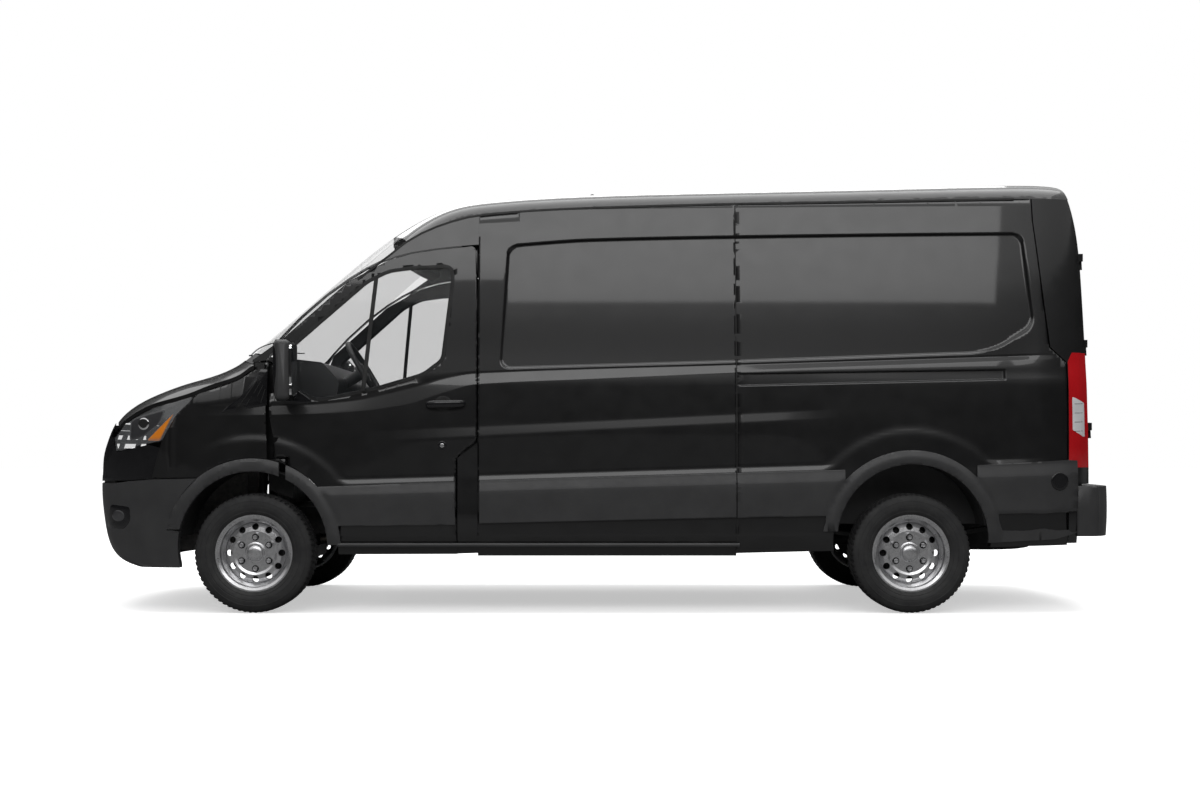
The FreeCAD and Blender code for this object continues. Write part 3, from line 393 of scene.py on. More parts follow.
def wheel_trim(cx, cy, side, body, tail):
    """Centre cap, brake disc, and nuts with their collars."""
    verts, faces = disc_stack(CAP_PROFILE, cx, cy, TYRE_R, side, 72)
    piece("wheel_cap_" + tail, verts, faces, "wheel_steel", body)
    verts, faces = disc_stack(DISC_PROFILE, cx, cy, TYRE_R, side, 64)
    piece("brake_disc_" + tail, verts, faces, "frame_steel", body)
    collars, collar_faces = [], []
    nuts, nut_faces = [], []
    hexagon = loft(len(NUT_ROWS), 6) + [cap(len(NUT_ROWS) - 1, 6)]
    for k in range(STUD_COUNT):
        a = 2.0 * math.pi * (k + 0.5) / STUD_COUNT
        x = cx + STUD_CIRCLE * math.cos(a)
        z = TYRE_R + STUD_CIRCLE * math.sin(a)
        gather(collars, collar_faces, *disc_stack(COLLAR_PROFILE, x, cy, z, side, 24))
        corners = [(x + r * math.cos(math.pi * n / 3 + a), cy + side * out,
                    z + r * math.sin(math.pi * n / 3 + a)) for out, r in NUT_ROWS
                   for n in range(6)]
        gather(nuts, nut_faces, corners, hexagon if side < 0 else [f[::-1] for f in hexagon])
    piece("nut_collars_" + tail, collars, collar_faces, "gloss_trim", body)
    piece("wheel_nuts_" + tail, nuts, nut_faces, "wheel_steel", body, angle=20.0)


dress()

for corner in CORNERS:
    make_tyre(*corner)
    wheel_trim(*corner)


# Stamped outer panels. Lines run rearward and rise a little; lengths here are in millimetres.

# Arch centres, depths of the pressings below the plain skin, and radii of bulge and corner
ARCHES = ((1000.0 * FRONT_X, 381.0), (1000.0 * REAR_X, 422.0))
BEAD_DEEP = 8.0
STEP_DEEP = 8.0
BELT_DEEP = 17.0
BULGE_R = 622.0
RECESS_DEEP = 22.0
RECESS_CORNER = 60.0
RECESS_WALL = 15.0
SKIN_DEEP = 1.2
RAIL_DEEP = 16.0
CLAD_BLANK = 22.0
PRESS_REACH = 1150.0


def smooth(points):
    """Returns f(t), a cubic through the points that keeps their rises and falls."""
    ts = [p[0] for p in points]
    vs = [p[1] for p in points]
    n = len(ts)
    step = [(vs[i + 1] - vs[i]) / (ts[i + 1] - ts[i]) for i in range(n - 1)]
    slope = [step[0]]
    for a, b in zip(step, step[1:]):
        slope.append(0.0 if a * b <= 0 else 2 * a * b / (a + b))
    slope.append(step[-1])

    def value(t):
        if t <= ts[0]:
            return vs[0] + slope[0] * (t - ts[0])
        if t >= ts[-1]:
            return vs[-1] + slope[-1] * (t - ts[-1])
        i = max(k for k in range(n - 1) if ts[k] <= t)
        h = ts[i + 1] - ts[i]
        s = (t - ts[i]) / h
        return (vs[i] * (1 + 2 * s) * (1 - s) ** 2 + slope[i] * h * s * (1 - s) ** 2
                + vs[i + 1] * s * s * (3 - 2 * s) + slope[i + 1] * h * s * s * (s - 1))
    return value


plan_half = smooth([
    (-3000, 560), (-2920, 690), (-2840, 780), (-2740, 858), (-2640, 908), (-2500, 948),
    (-2350, 970), (-2100, 986), (-1850, 994), (-1500, 1000), (-1000, 1002), (1500, 1002),
    (2100, 999), (2500, 990), (2640, 972), (2740, 936), (2800, 880)])
lean = smooth([(200, 2), (700, 0), (1000, 0), (1300, 7), (1380, 17), (1500, 32), (1700, 54),
               (2000, 90), (2150, 112), (2300, 137), (2500, 175), (2700, 215)])
clad_top = smooth([(-3000, 690), (-1600, 728), (0, 776), (2700, 857)])
bead_top = smooth([(-3000, 724), (-1600, 762), (0, 810), (2700, 892)])
step_low = smooth([(-3000, 897), (-1600, 966), (0, 1046), (2700, 1180)])
step_top = smooth([(-3000, 957), (-1600, 1024), (0, 1100), (2700, 1228)])
belt_low = smooth([(-3000, 1110), (-2300, 1126), (-1700, 1135), (-1400, 1150), (-1100, 1190),
                   (-870, 1262), (-700, 1305), (-38, 1339), (785, 1376), (2136, 1432),
                   (2900, 1462)])
belt_top = smooth([(-3000, 1160), (-2300, 1186), (-1700, 1196), (-1400, 1222), (-1100, 1290),
                   (-870, 1348), (-700, 1375), (785, 1422), (2136, 1463), (2900, 1488)])
recess_top = smooth([(-522, 2112), (-38, 2146), (1042, 2168), (2440, 2185)])
recess_low = smooth([(-567, 1391), (800, 1431), (2241, 1482)])
rail_low = smooth([(785, 1294), (2314, 1331)])
rail_top = smooth([(785, 1369), (2314, 1393)])
RECESS_EDGES = [((-567, 1391), (-522, 2112)), ((2440, 2185), (2497, 1640)),
                ((2500, 1640), (2241, 1483))]


def clad_crease(x):
    return 717 + 0.0275 * x


def clad_low(x):
    """Lower crease of the cladding, which rises rearward a little less."""
    return 528 + 0.0245 * x


def metres(x, y, z):
    return Vector((x / 1000.0, y / 1000.0, z / 1000.0))


def ramp(t, a, b):
    """Soft step from 0 at a to 1 at b."""
    t = min(max((t - a) / (b - a), 0.0), 1.0)
    return t * t * (3 - 2 * t)


def recess_distance(x, z):
    """Distance outside the recess's rounded outline, less than zero inside it."""
    gaps = [z - recess_top(x), recess_low(x) - z]
    for (x0, z0), (x1, z1) in RECESS_EDGES:
        size = math.hypot(x1 - x0, z1 - z0)
        gaps.append(((z1 - z0) * (x0 - x) + (x1 - x0) * (z - z0)) / size)
    beyond = [max(g + RECESS_CORNER, 0.0) for g in gaps]
    if max(beyond) == 0:
        return max(gaps)
    return math.sqrt(sum(b * b for b in beyond)) - RECESS_CORNER


def stamping(x, z):
    """Depth of the stamped skin below the plain one."""
    step = ramp(x, -1450, -700) * (1 - ramp(x, 950, 1500))
    level = [0.0, 0.0, BEAD_DEEP, BEAD_DEEP - 0.5 * STEP_DEEP * step,
             BEAD_DEEP + 0.5 * STEP_DEEP * step, BEAD_DEEP, BELT_DEEP]
    lines = [clad_top(x) - 60, clad_top(x), bead_top(x), step_low(x), step_top(x), belt_low(x),
             belt_top(x)]
    if z >= lines[-1]:
        depth = BELT_DEEP * (1 - ramp(z, lines[-1] - 200, 2200))
    elif z <= lines[0]:
        depth = 0.0
    else:
        i = max(n for n in range(len(lines) - 1) if lines[n] <= z)
        t = (z - lines[i]) / (lines[i + 1] - lines[i])
        depth = level[i] + (level[i + 1] - level[i]) * t
    for cx, cz in ARCHES:
        r = math.hypot(x - cx, z - cz)
        depth *= ramp(r, BULGE_R - 30, BULGE_R + 32)
    depth *= ramp(x, -2380, -2020) * (1 - ramp(x, 2330, 2640))
    depth *= 1 - ramp(-x, 1940, 2060) * ramp(z, 1080, 1280)
    depth += (RECESS_DEEP - depth) * ramp(-recess_distance(x, z), 0, RECESS_WALL)
    inside = min(x - 806, 2318 - x, z - rail_low(x), rail_top(x) - z)
    return depth + RAIL_DEEP * ramp(inside, 0, 8) + SKIN_DEEP


def cladding(x, z):
    """Depth of the moulding below its blank: a bevel along the top, and flares round the arches."""
    crease = clad_crease(x)
    low = clad_low(x)
    if z > crease:
        depth = 4 + 14 * (z - crease) / (clad_top(x) - crease)
    else:
        depth = 4 + 5 * ramp(z, crease - 4, low - 10) + 9 * ramp(z, low + 6, low - 30)
    for cx, cz in ARCHES:
        r = math.hypot(x - cx, z - cz)
        flare = 1 + 12 * ramp(r, 474, 506) + 5 * ramp(r, 444, 428)
        depth += (flare - depth) * (1 - ramp(r, 505, 512))
    return min(depth, 18.0) - CLAD_BLANK


def row_heights(x):
    """Heights of the grid's rows at x, closer together along each crease."""
    foot = max(recess_low(x), belt_top(x) + 9)
    head = recess_top(x)
    rail = min(rail_low(x), belt_low(x) - 60)
    slot_top = min(rail_top(x), belt_low(x) - 6)
    marks = [(320, 3), (clad_top(x) - 60, 3), (clad_top(x), 5), (bead_top(x), 13),
             (step_low(x), 7), (step_top(x), 10), (rail - 2, 6), (rail + 12, 2),
             (slot_top - 11, 6), (slot_top + 2, 1), (belt_low(x), 6), (belt_top(x), 1),
             (foot - 2, 8), (foot + 18, 7), (foot + 76, 18), (foot + 300, 9), (head - 76, 7),
             (head - 18, 8), (head + 2, 3), (head + 60, 4), (2430, 0)]
    return spaced(marks)


def clad_heights(x):
    """Heights of the grid's rows on the cladding and the flares."""
    low = clad_low(x)
    return spaced([(340, 3), (low - 34, 5), (low + 10, 8), (clad_crease(x), 4),
                   (clad_top(x) + 1, 12), (1010, 0)])


def spaced(marks):
    """Rows between the marks, each with its count up to the next, and two at each crease."""
    zs = []
    for (a, n), (b, _) in zip(marks, marks[1:]):
        soft = min(2.5, 0.12 * (b - a))
        zs += [a + soft + (b - a - 2 * soft) * k / n for k in range(n + 1)]
    return zs + [marks[-1][0]]


def columns(x0, x1):
    """Grid columns, closer together at the arches and at the ends of the recess."""
    zones = ((-2400, -1250, 17), (-1250, -610, 32), (-610, -470, 6), (-470, -350, 20),
             (-350, 950, 60), (950, 1180, 28), (1180, 2210, 17), (2210, 2530, 6),
             (2530, 2700, 20))
    xs = []
    for a, b, pitch in zones:
        n = int(round((b - a) / pitch))
        xs += [a + (b - a) * k / n for k in range(n)]
    xs = sorted(set(x for x in xs if x0 + 9 <= x <= x1 - 9))
    return [x0] + xs + [x1]


def press_block(x0, x1, side, heights, depth):
    """Closed block of the air that the press takes off the plain skin between x0 and x1."""
    xs = columns(x0, x1)
    width = len(heights(0.0))
    verts = []
    for reach in (0, 1):
        for x in xs:
            for z in heights(x):
                y = PRESS_REACH if reach else plan_half(x) - lean(z) - depth(x, z)
                verts.append(metres(x, side * y, z))
    half = len(xs) * width
    faces = []
    for a, b, c, d in loft(len(xs), width, closed=False):
        faces += [(a, d, c, b), (half + a, half + b, half + c, half + d)]
    rim = [i * width for i in range(len(xs))]
    rim += [(len(xs) - 1) * width + j for j in range(1, width)]
    rim += [i * width + width - 1 for i in range(len(xs) - 2, -1, -1)]
    rim += [j for j in range(width - 2, 0, -1)]
    for a, b in zip(rim, rim[1:] + rim[:1]):
        faces.append((b, a, half + a, half + b))
    mesh = bpy.data.meshes.new("press_block")
    mesh.from_pydata(verts, [], [f if side > 0 else f[::-1] for f in faces])
    return new_object("press_block", mesh)


def stamp_panel(node, sides, x0, x1, body, mat="body_black", heights=row_heights,
                depth=stamping):
    """Copy of a plain panel with the pressings taken off it; it stands for that panel."""
    plain = nodes[node]
    obj = new_object("pressed_" + node, plain.data.copy())
    obj.matrix_world = plain.matrix_world.copy()
    rework(obj.data, weld=0.00002, outward=False)
    blocks = [press_block(x0, x1, side, heights, depth) for side in sides]
    for block in blocks:
        cut = obj.modifiers.new("press", "BOOLEAN")
        cut.operation = "DIFFERENCE"
        cut.solver = "MANIFOLD"
        cut.object = block
    bpy.context.view_layer.update()
    graph = bpy.context.evaluated_depsgraph_get()
    made = bpy.data.meshes.new_from_object(obj.evaluated_get(graph))
    obj.modifiers.clear()
    obj.data = made
    for block in blocks:
        bpy.data.objects.remove(block)
    rework(made, weld=0.0003, sliver=0.0002, outward=False)
    made.materials.clear()
    made.materials.append(MATS[mat])
    made.polygons.foreach_set("material_index", [0] * len(made.polygons))
    shade_smooth(made, 32.0)
    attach(obj, body)
    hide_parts(node)


for side_name, sign in SIDES.items():
    stamp_panel("door_" + side_name, [sign], -1890, -680, "front_door_" + side_name)
    stamp_panel("side_rear_" + side_name, [sign], 780, 2690, "body")
    stamp_panel("door_trim_" + side_name, [sign], -1785, -800, "front_door_" + side_name,
                "dark_plastic", clad_heights, cladding)
for node_name, panel_sides, front, back in (("side_centre_left", [-1.0], -695, 790),
                                            ("sliding_door", [1.0], -695, 790),
                                            ("front_wings", [-1.0, 1.0], -2450, -1770)):
    stamp_panel(node_name, panel_sides, front, back, "body")
for node_name, front, back in (("side_cladding", -690, 2745), ("wing_flares", -2480, -1800)):
    stamp_panel(node_name, [-1.0, 1.0], front, back, "body", "dark_plastic", clad_heights,
                cladding)


# Small parts that lie on the body. Points are (x, z) in millimetres.

def skin(x, z, side, lift=0.0, plain=False):
    """Point on the pressed skin, in metres, lifted off it by so many millimetres."""
    y = plan_half(x) - lean(z) + lift - (0.0 if plain else stamping(x, z))
    return metres(x, side * y, z)


def spread(points, pitch, closed=False):
    """Points along a line of straight runs, no further apart than the pitch."""
    ends = points[1:] + (points[:1] if closed else [])
    out = []
    for (x0, z0), (x1, z1) in zip(points, ends):
        n = max(1, int(math.hypot(x1 - x0, z1 - z0) / pitch))
        out += [(x0 + (x1 - x0) * k / n, z0 + (z1 - z0) * k / n) for k in range(n)]
    return out if closed else out + [points[-1]]


def rounded(points, radius, count=5):
    """The closed outline with each corner turned into an arc of about the radius."""
    out = []
    for i, (x, z) in enumerate(points):
        legs = []
        for qx, qz in (points[i - 1], points[(i + 1) % len(points)]):
            size = math.hypot(qx - x, qz - z)
            step = min(radius, size * 0.45) / size
            legs.append((x + (qx - x) * step, z + (qz - z) * step))
        for k in range(count + 1):
            t = k / count
            a, b, c = (1 - t) ** 2, 2 * t * (1 - t), t * t
            out.append((a * legs[0][0] + b * x + c * legs[1][0],
                        a * legs[0][1] + b * z + c * legs[1][1]))
    return out


def band(name, points, width, side, mat, body, lift=0.5, closed=False, plain=False, pitch=25.0):
    """Rounded strip that follows the skin along a line."""
    line = spread(points, pitch, closed)
    n = len(line)
    section = ((-1.0, -1.5), (-0.92, 0.75 * lift), (-0.5, lift), (0.5, lift), (0.92, 0.75 * lift),
               (1.0, -1.5))
    verts = []
    for i, (x, z) in enumerate(line):
        a = line[(i - 1) % n] if closed or i else line[i]
        b = line[(i + 1) % n] if closed or i < n - 1 else line[i]
        size = max(math.hypot(b[0] - a[0], b[1] - a[1]), 0.001)
        nx = -(b[1] - a[1]) / size
        nz = (b[0] - a[0]) / size
        for s, up in section:
            off = s * width / 2
            verts.append(skin(x + nx * off, z + nz * off, side, up, plain))
    w = len(section)
    faces = []
    for i in range(n if closed else n - 1):
        j = (i + 1) % n
        for k in range(w - 1):
            quad = (i * w + k, j * w + k, j * w + k + 1, i * w + k + 1)
            faces.append(quad if side < 0 else quad[::-1])
    piece(name, verts, faces, mat, body, angle=60.0)


def centre_of(outline):
    return [sum(p[axis] for p in outline) / len(outline) for axis in (0, 1)]


def pad(name, outline, side, mat, body, lift=4.0, bevel=3.0, sink=-2.0, plain=False):
    """Raised pad over a closed outline, with a rounded edge and rings across its top."""
    cx, cz = centre_of(outline)
    n = len(outline)
    rings = [(0.0, sink, 1.0), (0.0, lift - bevel * 0.6, 1.0),
             (0.35 * bevel, lift - 0.18 * bevel, 1.0)]
    rings += [(bevel, lift, 1 - t / 6.0) for t in range(6)]
    verts = []
    for inset, up, share in rings:
        for x, z in outline:
            k = max(0.0, 1 - inset / max(math.hypot(x - cx, z - cz), 0.001)) * share
            verts.append(skin(cx + (x - cx) * k, cz + (z - cz) * k, side, up, plain))
    faces = loft(len(rings), n) + [cap(len(rings) - 1, n)]
    area = sum(outline[i - 1][0] * outline[i][1] - outline[i][0] * outline[i - 1][1]
               for i in range(n))
    if (area > 0) == (side > 0):
        faces = [f[::-1] for f in faces]
    piece(name, verts, faces, mat, body, angle=50.0)


def tube(name, path, radii, mat, body, count=16):
    """Tube through world points, its section an ellipse of (across, outward) radii."""
    verts = []
    for i, p in enumerate(path):
        way = (path[min(i + 1, len(path) - 1)] - path[max(i - 1, 0)]).normalized()
        up = Vector((0, 0, 1)) if abs(way.z) < 0.9 else Vector((1, 0, 0))
        out = way.cross(up).normalized()
        top = out.cross(way).normalized()
        ra, rb = radii[i] if isinstance(radii, list) else radii
        for k in range(count):
            a = 2 * math.pi * k / count
            verts.append(p + top * (ra * math.cos(a)) + out * (rb * math.sin(a)))
    faces = loft(len(path), count) + [cap(0, count)[::-1], cap(len(path) - 1, count)]
    rework(piece(name, verts, faces, mat, body, angle=45.0).data)


def circle(x, z, r, count=32, tall=1.0):
    return [(x + r * math.cos(2 * math.pi * k / count),
             z + r * tall * math.sin(2 * math.pi * k / count)) for k in range(count)]


GLASS_EDGE = rounded([(-850, 1986), (-832, 1925), (-889, 1446), (-1000, 1362), (-1261, 1284),
                      (-1598, 1214), (-1729, 1270), (-1752, 1520), (-1323, 1897), (-1200, 1957),
                      (-1060, 1976)], 34)


def door_fittings(name, side):
    """Window rubber, quarter bar, handle over a dark pad painted as the shade of its bowl, lock and
    mirror sail.
    """
    body = "front_door_" + name
    band("window_rubber_" + name, GLASS_EDGE, 22, side, "seal", body, 1.2, closed=True,
         pitch=12.0)
    bar = [(-1272, 1922), (-1306, 1600), (-1338, 1268)]
    band("quarter_bar_" + name, bar, 24, side, "seal", body, -3.0, plain=True)
    # Flat dark pad with a slight rim: painted shade standing in for the hollow of the handle bowl,
    # which is not cut into the skin
    pad("bowl_shade_pad_" + name, circle(-883, 1194, 51, tall=0.9), side, "seal", body, 0.9, 4.0)
    path = [skin(x, z, side, up) for x, z, up in (
        (-978, 1190, 2), (-972, 1190, 14), (-955, 1191, 23), (-920, 1192, 29), (-870, 1193, 31),
        (-820, 1194, 29), (-785, 1195, 23), (-768, 1196, 14), (-762, 1196, 2))]
    half = [(0.016, 0.006), (0.019, 0.008), (0.021, 0.009), (0.0215, 0.009)]
    tube("handle_" + name, path, half + [half[-1]] + half[::-1], "gloss_trim", body)
    pad("lock_" + name, circle(-889, 958, 25), side, "gloss_trim", body, 4.0, 4.0)
    pad("lock_core_" + name, circle(-889, 958, 12), side, "chrome", body, 5.0, 2.0)
    sail = [(-1800, 1204), (-1640, 1196), (-1640, 1222), (-1752, 1300), (-1786, 1330)]
    pad("mirror_sail_" + name, rounded(sail, 14, 3), side, "gloss_trim", body, 3.0, 3.0)


MIRROR_ROWS = 12
MIRROR_COUNT = 36
MIRROR_FOOT = 1.207
MIRROR_TALL = 0.341
SQUARENESS = 3.2


def bulged(angle, power):
    """Cosine and sine of the angle, pushed out towards a square."""
    return [math.copysign(abs(f(angle)) ** power, f(angle)) for f in (math.cos, math.sin)]


def mirror_shell(name, side):
    """Door mirror: a rounded housing over the solid, its glass and its small lower glass."""
    body = "front_door_" + name
    verts = []
    for row in range(MIRROR_ROWS + 1):
        t = row / MIRROR_ROWS
        swell = (1 - abs(2 * t - 1) ** SQUARENESS) ** (1 / SQUARENESS)
        for k in range(MIRROR_COUNT):
            c, s = bulged(2 * math.pi * k / MIRROR_COUNT, 0.6)
            verts.append((-1.7585 - 0.008 * t + (0.0405 + 0.0125 * swell) * c,
                          side * (1.128 + (0.070 + 0.038 * swell) * s),
                          MIRROR_FOOT + MIRROR_TALL * t))
    faces = loft(MIRROR_ROWS + 1, MIRROR_COUNT)
    faces += [cap(0, MIRROR_COUNT), cap(MIRROR_ROWS, MIRROR_COUNT)]
    rework(piece("mirror_shell_" + name, verts, faces, "gloss_trim", body, angle=50.0).data)
    face = rounded([(1035, 1232), (1222, 1236), (1226, 1518), (1040, 1526)], 26)
    small = rounded([(1035, 1232), (1222, 1236), (1224, 1306), (1036, 1302)], 16)
    for tag, outline, x, mat in (("glass", face, -1704.2, "mirror_glass"),
                                 ("blind", small, -1703.6, "chrome")):
        verts = [metres(x - back, side * y, z) for back in (0.0, 12.0) for y, z in outline]
        faces = [cap(0, len(outline))] + loft(2, len(outline))
        rework(piece("mirror_%s_%s" % (tag, name), verts, faces, mat, body).data)


def side_fittings(name, side):
    """Arch shield, dark strips painted as the shade of the middle seam, the gutter and the wing
    grooves, wing trim, sill step and round cap on one side.
    """
    shield = [(-1905, 700), (-1770, 650), (-1770, 872), (-1905, 872)]
    verts = [metres(x, side * y, z) for y in (800, 804) for x, z in shield]
    faces = [cap(0, 4), cap(1, 4)[::-1]] + loft(2, 4)
    piece("arch_shield_" + name, verts, faces, "seal", "body", smooth=False)
    # Dark strip along the middle seam: painted shade of the seam gap
    band("seam_shade_strip_" + name, [(787, 352), (787, 2340)], 7, side, "seal", "body", 2.0,
         pitch=10.0)
    # Dark strip along the gutter line: painted shade of the gutter channel
    gutter = [(x, gutter_line(x)) for x in range(-1380, 2490, 90)]
    band("gutter_" + name, gutter, 13, side, "seal", "body", 0.8, plain=True)
    trim = [(-2150, 1142), (-1890, 1184), (-1886, 1392), (-1930, 1396)]
    pad("wing_trim_" + name, rounded(trim, 10, 3), side, "gloss_trim", "body", 1.6, 3.0)
    # Raised dark strips across the wing trim: painted shade of its grooves
    for k in range(4):
        groove = [(-2050 + 42 * k, 1176 + 8 * k), (-1935 + 12 * k, 1346 - 22 * k)]
        band("wing_groove_shade_%s_%d" % (name, k), groove, 5, side, "seal", "body", 2.2)
    step = [skin(x, 392, side, 6, True) for x in range(-1480, 860, 60)]
    tube("sill_step_" + name, step, (0.013, 0.010), "dark_plastic", "body", 12)
    cap_name = "fuel_cap_right" if side > 0 else "side_cap"
    pad(cap_name, circle(2622, 754, 52), side, "gloss_trim", "body", 22.0, 6.0, 16.0,
        plain=True)


gutter_line = smooth([(-1500, 1813), (-1350, 1932), (-1250, 2008), (-1160, 2080), (-1070, 2150),
                      (-850, 2245), (-700, 2281), (-413, 2309), (-38, 2328), (337, 2340),
                      (787, 2352), (1047, 2356), (2494, 2383)])

for side_name, sign in SIDES.items():
    door_fittings(side_name, sign)
    mirror_shell(side_name, sign)
    side_fittings(side_name, sign)


# Seats: cushions rounded out by a formula, with channels, heads, shells and posts

CUSHION_POWER = 0.4
CHANNEL_DEEP = 0.006
CHANNEL_WIDE = 0.035
CHANNELS = (("y", -0.62), ("y", 0.62), ("x", -0.35), ("x", 0.1))
BACK_TILT = 0.147
HEAD_TILT = 0.05


def cushion(name, half, centre, tilt, crown=0.016, seams=(), rows=44, cols=40):
    """Closed padded form. half gives its half sizes along its own length, width and depth."""
    lx, ly, lz = half
    verts = []
    for i in range(rows + 1):
        cu, z = bulged(-math.pi / 2 + math.pi * i / rows, CUSHION_POWER)
        for k in range(cols):
            cv, sv = bulged(2 * math.pi * k / cols, CUSHION_POWER)
            x = cu * cv
            y = cu * sv
            dome = (1 - x * x) * (1 - y * y)
            rise = crown * dome if z > 0.3 else 0.25 * crown * dome
            for axis, at in seams:
                gap = (x if axis == "x" else y) - at
                rise -= CHANNEL_DEEP * math.exp(-(gap / CHANNEL_WIDE) ** 2) * (z > 0.3)
            rim = math.exp(-((z - 0.45) / 0.10) ** 2)
            pull = 1 - 0.012 * rim - 0.018 * (1 - x * x) * (abs(y) > 0.8)
            waist = 1 - 0.02 * (1 - x * x) if abs(y) > 0.9 else 1.0
            local = Vector((x * lx * pull, y * ly * pull * waist,
                            z * lz + (rise if z > 0 else -rise)))
            local.rotate(Matrix.Rotation(tilt, 3, "Y"))
            verts.append(Vector(centre) + local)
    obj = piece(name, verts, loft(rows + 1, cols), "seat_cloth", "body", angle=60.0)
    rework(obj.data, weld=0.0001)
    return obj


def seat(tag, y0, y1):
    """Base, back and head cushions on a moulded shell, inside the space of the plain seat."""
    cy = (y0 + y1) / 2
    hy = (y1 - y0) / 2 - 0.006
    base = cushion("seat_base_" + tag, (0.205, hy, 0.052), (-1.040, cy, 0.935), 0.06,
                   seams=CHANNELS)
    back = cushion("seat_back_" + tag, (0.270, hy, 0.045), (-0.795, cy, 1.270),
                   BACK_TILT - math.pi / 2, seams=CHANNELS)
    head = cushion("seat_head_" + tag, (0.088, 0.112, 0.030), (-0.741, cy, 1.645),
                   HEAD_TILT - math.pi / 2, crown=0.004, rows=24, cols=28)
    wide = hy - 0.02
    outline = [(-1.195, 0.598), (-1.245, 0.86), (-1.235, 0.905), (-0.86, 0.875),
               (-0.800, 0.900), (-0.790, 0.598)]
    verts = [(x, cy + s * wide * (0.93 if z < 0.6 else 1.0), z) for s in (-1, 1)
             for x, z in outline]
    n = len(outline)
    faces = [cap(0, n), cap(1, n)[::-1]] + [f[::-1] for f in loft(2, n)]
    shell = piece("seat_shell_" + tag, verts, faces, "dark_plastic", "body")
    rework(shell.data, bevel=0.012)
    for s in (-1, 1):
        post = [Vector((-0.745, cy + s * 0.055, z)) for z in (1.50, 1.53, 1.56, 1.585)]
        tube("head_post_%s_%d" % (tag, s), post, (0.006, 0.006), "chrome", "body", 10)
    return [base, back, head, shell]


SEATS = (("driver", -0.730, -0.250), ("middle", -0.130, 0.380), ("outer", 0.390, 0.740))
seat_pieces = [p for tag, a, b in SEATS for p in seat(tag, a, b)]
for part in seat_pieces:
    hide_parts("seats")


# Lamps, nose and rear, laid on the surfaces of the carried-over solids

def lie_on(node, direction):
    """Returns f(a, b, lift): the point where a ray along the direction meets the node.

    a and b are x and z for a ray across the van, y and z for one along it, x and y for one down.
    """
    mesh = nodes[node].data
    world = nodes[node].matrix_world
    tree = BVHTree.FromPolygons([world @ v.co for v in mesh.vertices],
                                [tuple(p.vertices) for p in mesh.polygons])
    way = Vector(direction)

    def at(a, b, lift=0.0):
        if abs(way.y) > 0.5:
            start = Vector((a, 0, b)) - way * 1.6
        elif abs(way.x) > 0.5:
            start = Vector((0, a, b)) - way * 3.4
        else:
            start = Vector((a, b, 4.0))
        hit = tree.ray_cast(start, way)[0]
        return hit - way * lift if hit else None
    return at


def plate(name, at, outline, lift, mat, body, thick=0.004, rings=4):
    """Thin pad whose outline, in millimetres, is laid on a surface.

    A point that misses the surface is drawn inward until it meets it, and one that never does
    takes the place of the point before.
    """
    ca, cb = centre_of(outline)
    verts = []
    for r in range(rings + 1):
        for a, b in outline:
            p = None
            q = 1 - r / (rings + 0.4)
            while p is None and q > 0.05:
                p = at((ca + (a - ca) * q) / 1000.0, (cb + (b - cb) * q) / 1000.0,
                       lift if r else -thick)
                q *= 0.97
            verts.append(p or verts[-1])
    faces = loft(rings + 1, len(outline)) + [cap(rings, len(outline))]
    rework(piece(name, verts, faces, mat, body, angle=50.0).data)


# The lip as (distance behind the panel, z); the corner's plan as (x, y), its rows as (z, inset)
LIP_SECTION = ((0.010, 0.715), (0.010, 0.785), (0.022, 0.785), (0.022, 0.715))
CORNER_PLAN = ((2734, 946), (2740, 951), (2800, 951), (2838, 948), (2860, 941), (2867, 932),
               (2867, 902), (2734, 902))
CORNER_ROWS = ((439, 7), (446, 1.5), (600, 0), (718, 1.5), (726, 7))


def nose_lip():
    """Dark strip behind the gap between the nose panel and the bumper."""
    at = lie_on("nose_panel", (1, 0, 0))
    verts = []
    for k in range(-16, 17):
        hit = at(0.05 * k, 0.80)
        if hit:
            verts += [(hit.x + back, 0.05 * k, z) for back, z in LIP_SECTION]
    rows = len(verts) // 4
    faces = [cap(0, 4), cap(rows - 1, 4)[::-1]] + [f[::-1] for f in loft(rows, 4)]
    piece("nose_lip", verts, faces, "seal", "body")


nose_lip()


def bumper_corner(name, sign):
    """End of the rear bumper, wrapped round onto the side of the body."""
    verts = [metres(x + (inset if x < 2800 else -inset), sign * (y - inset), z)
             for z, inset in CORNER_ROWS for x, y in CORNER_PLAN]
    n = len(CORNER_PLAN)
    last = len(CORNER_ROWS) - 1
    faces = [cap(0, n), cap(last, n)] + loft(last + 1, n)
    rework(piece(name, verts, faces, "dark_plastic", "body").data)


def front_lamps(name, sign):
    """Turn lamp, and the bowl and lens inside the headlamp, on one side."""
    lamp_side = lie_on("headlamps", (0, -sign, 0))
    amber = spread(rounded([(-2424, 1140), (-2586, 986), (-2508, 984)], 14, 3), 12.0, closed=True)
    plate("turn_lamp_" + name, lamp_side, amber, 0.0015, "amber", "body")
    bowl = rounded([(-2690, 1108), (-2470, 1168), (-2500, 1090), (-2610, 1004), (-2700, 980)],
                   26, 4)
    bowl = spread(bowl, 14.0, closed=True)
    plate("lamp_bowl_" + name, lamp_side, bowl, 0.0012, "lamp_smoke", "body", rings=8)
    plate("lamp_lens_" + name, lamp_side, circle(-2606, 1082, 42), 0.0025, "chrome", "body")


def tail_lamp(name, sign):
    """Clear part of the tail lamp with its ribs."""
    lamp_side = lie_on("tail_lamps", (0, -sign, 0))
    pale = rounded([(2698, 1030), (2790, 984), (2806, 984), (2800, 1222), (2696, 1262)], 10, 2)
    pale = spread(pale, 12.0, closed=True)
    plate("tail_clear_" + name, lamp_side, pale, 0.0012, "lamp_pale", "body")
    for k in range(4):
        z = 1036 + 52 * k
        rib = spread([(2704, z), (2794, z + 4), (2794, z + 9), (2704, z + 5)], 12.0, closed=True)
        plate("tail_rib_%s_%d" % (name, k), lamp_side, rib, 0.0020, "chrome", "body", rings=2)


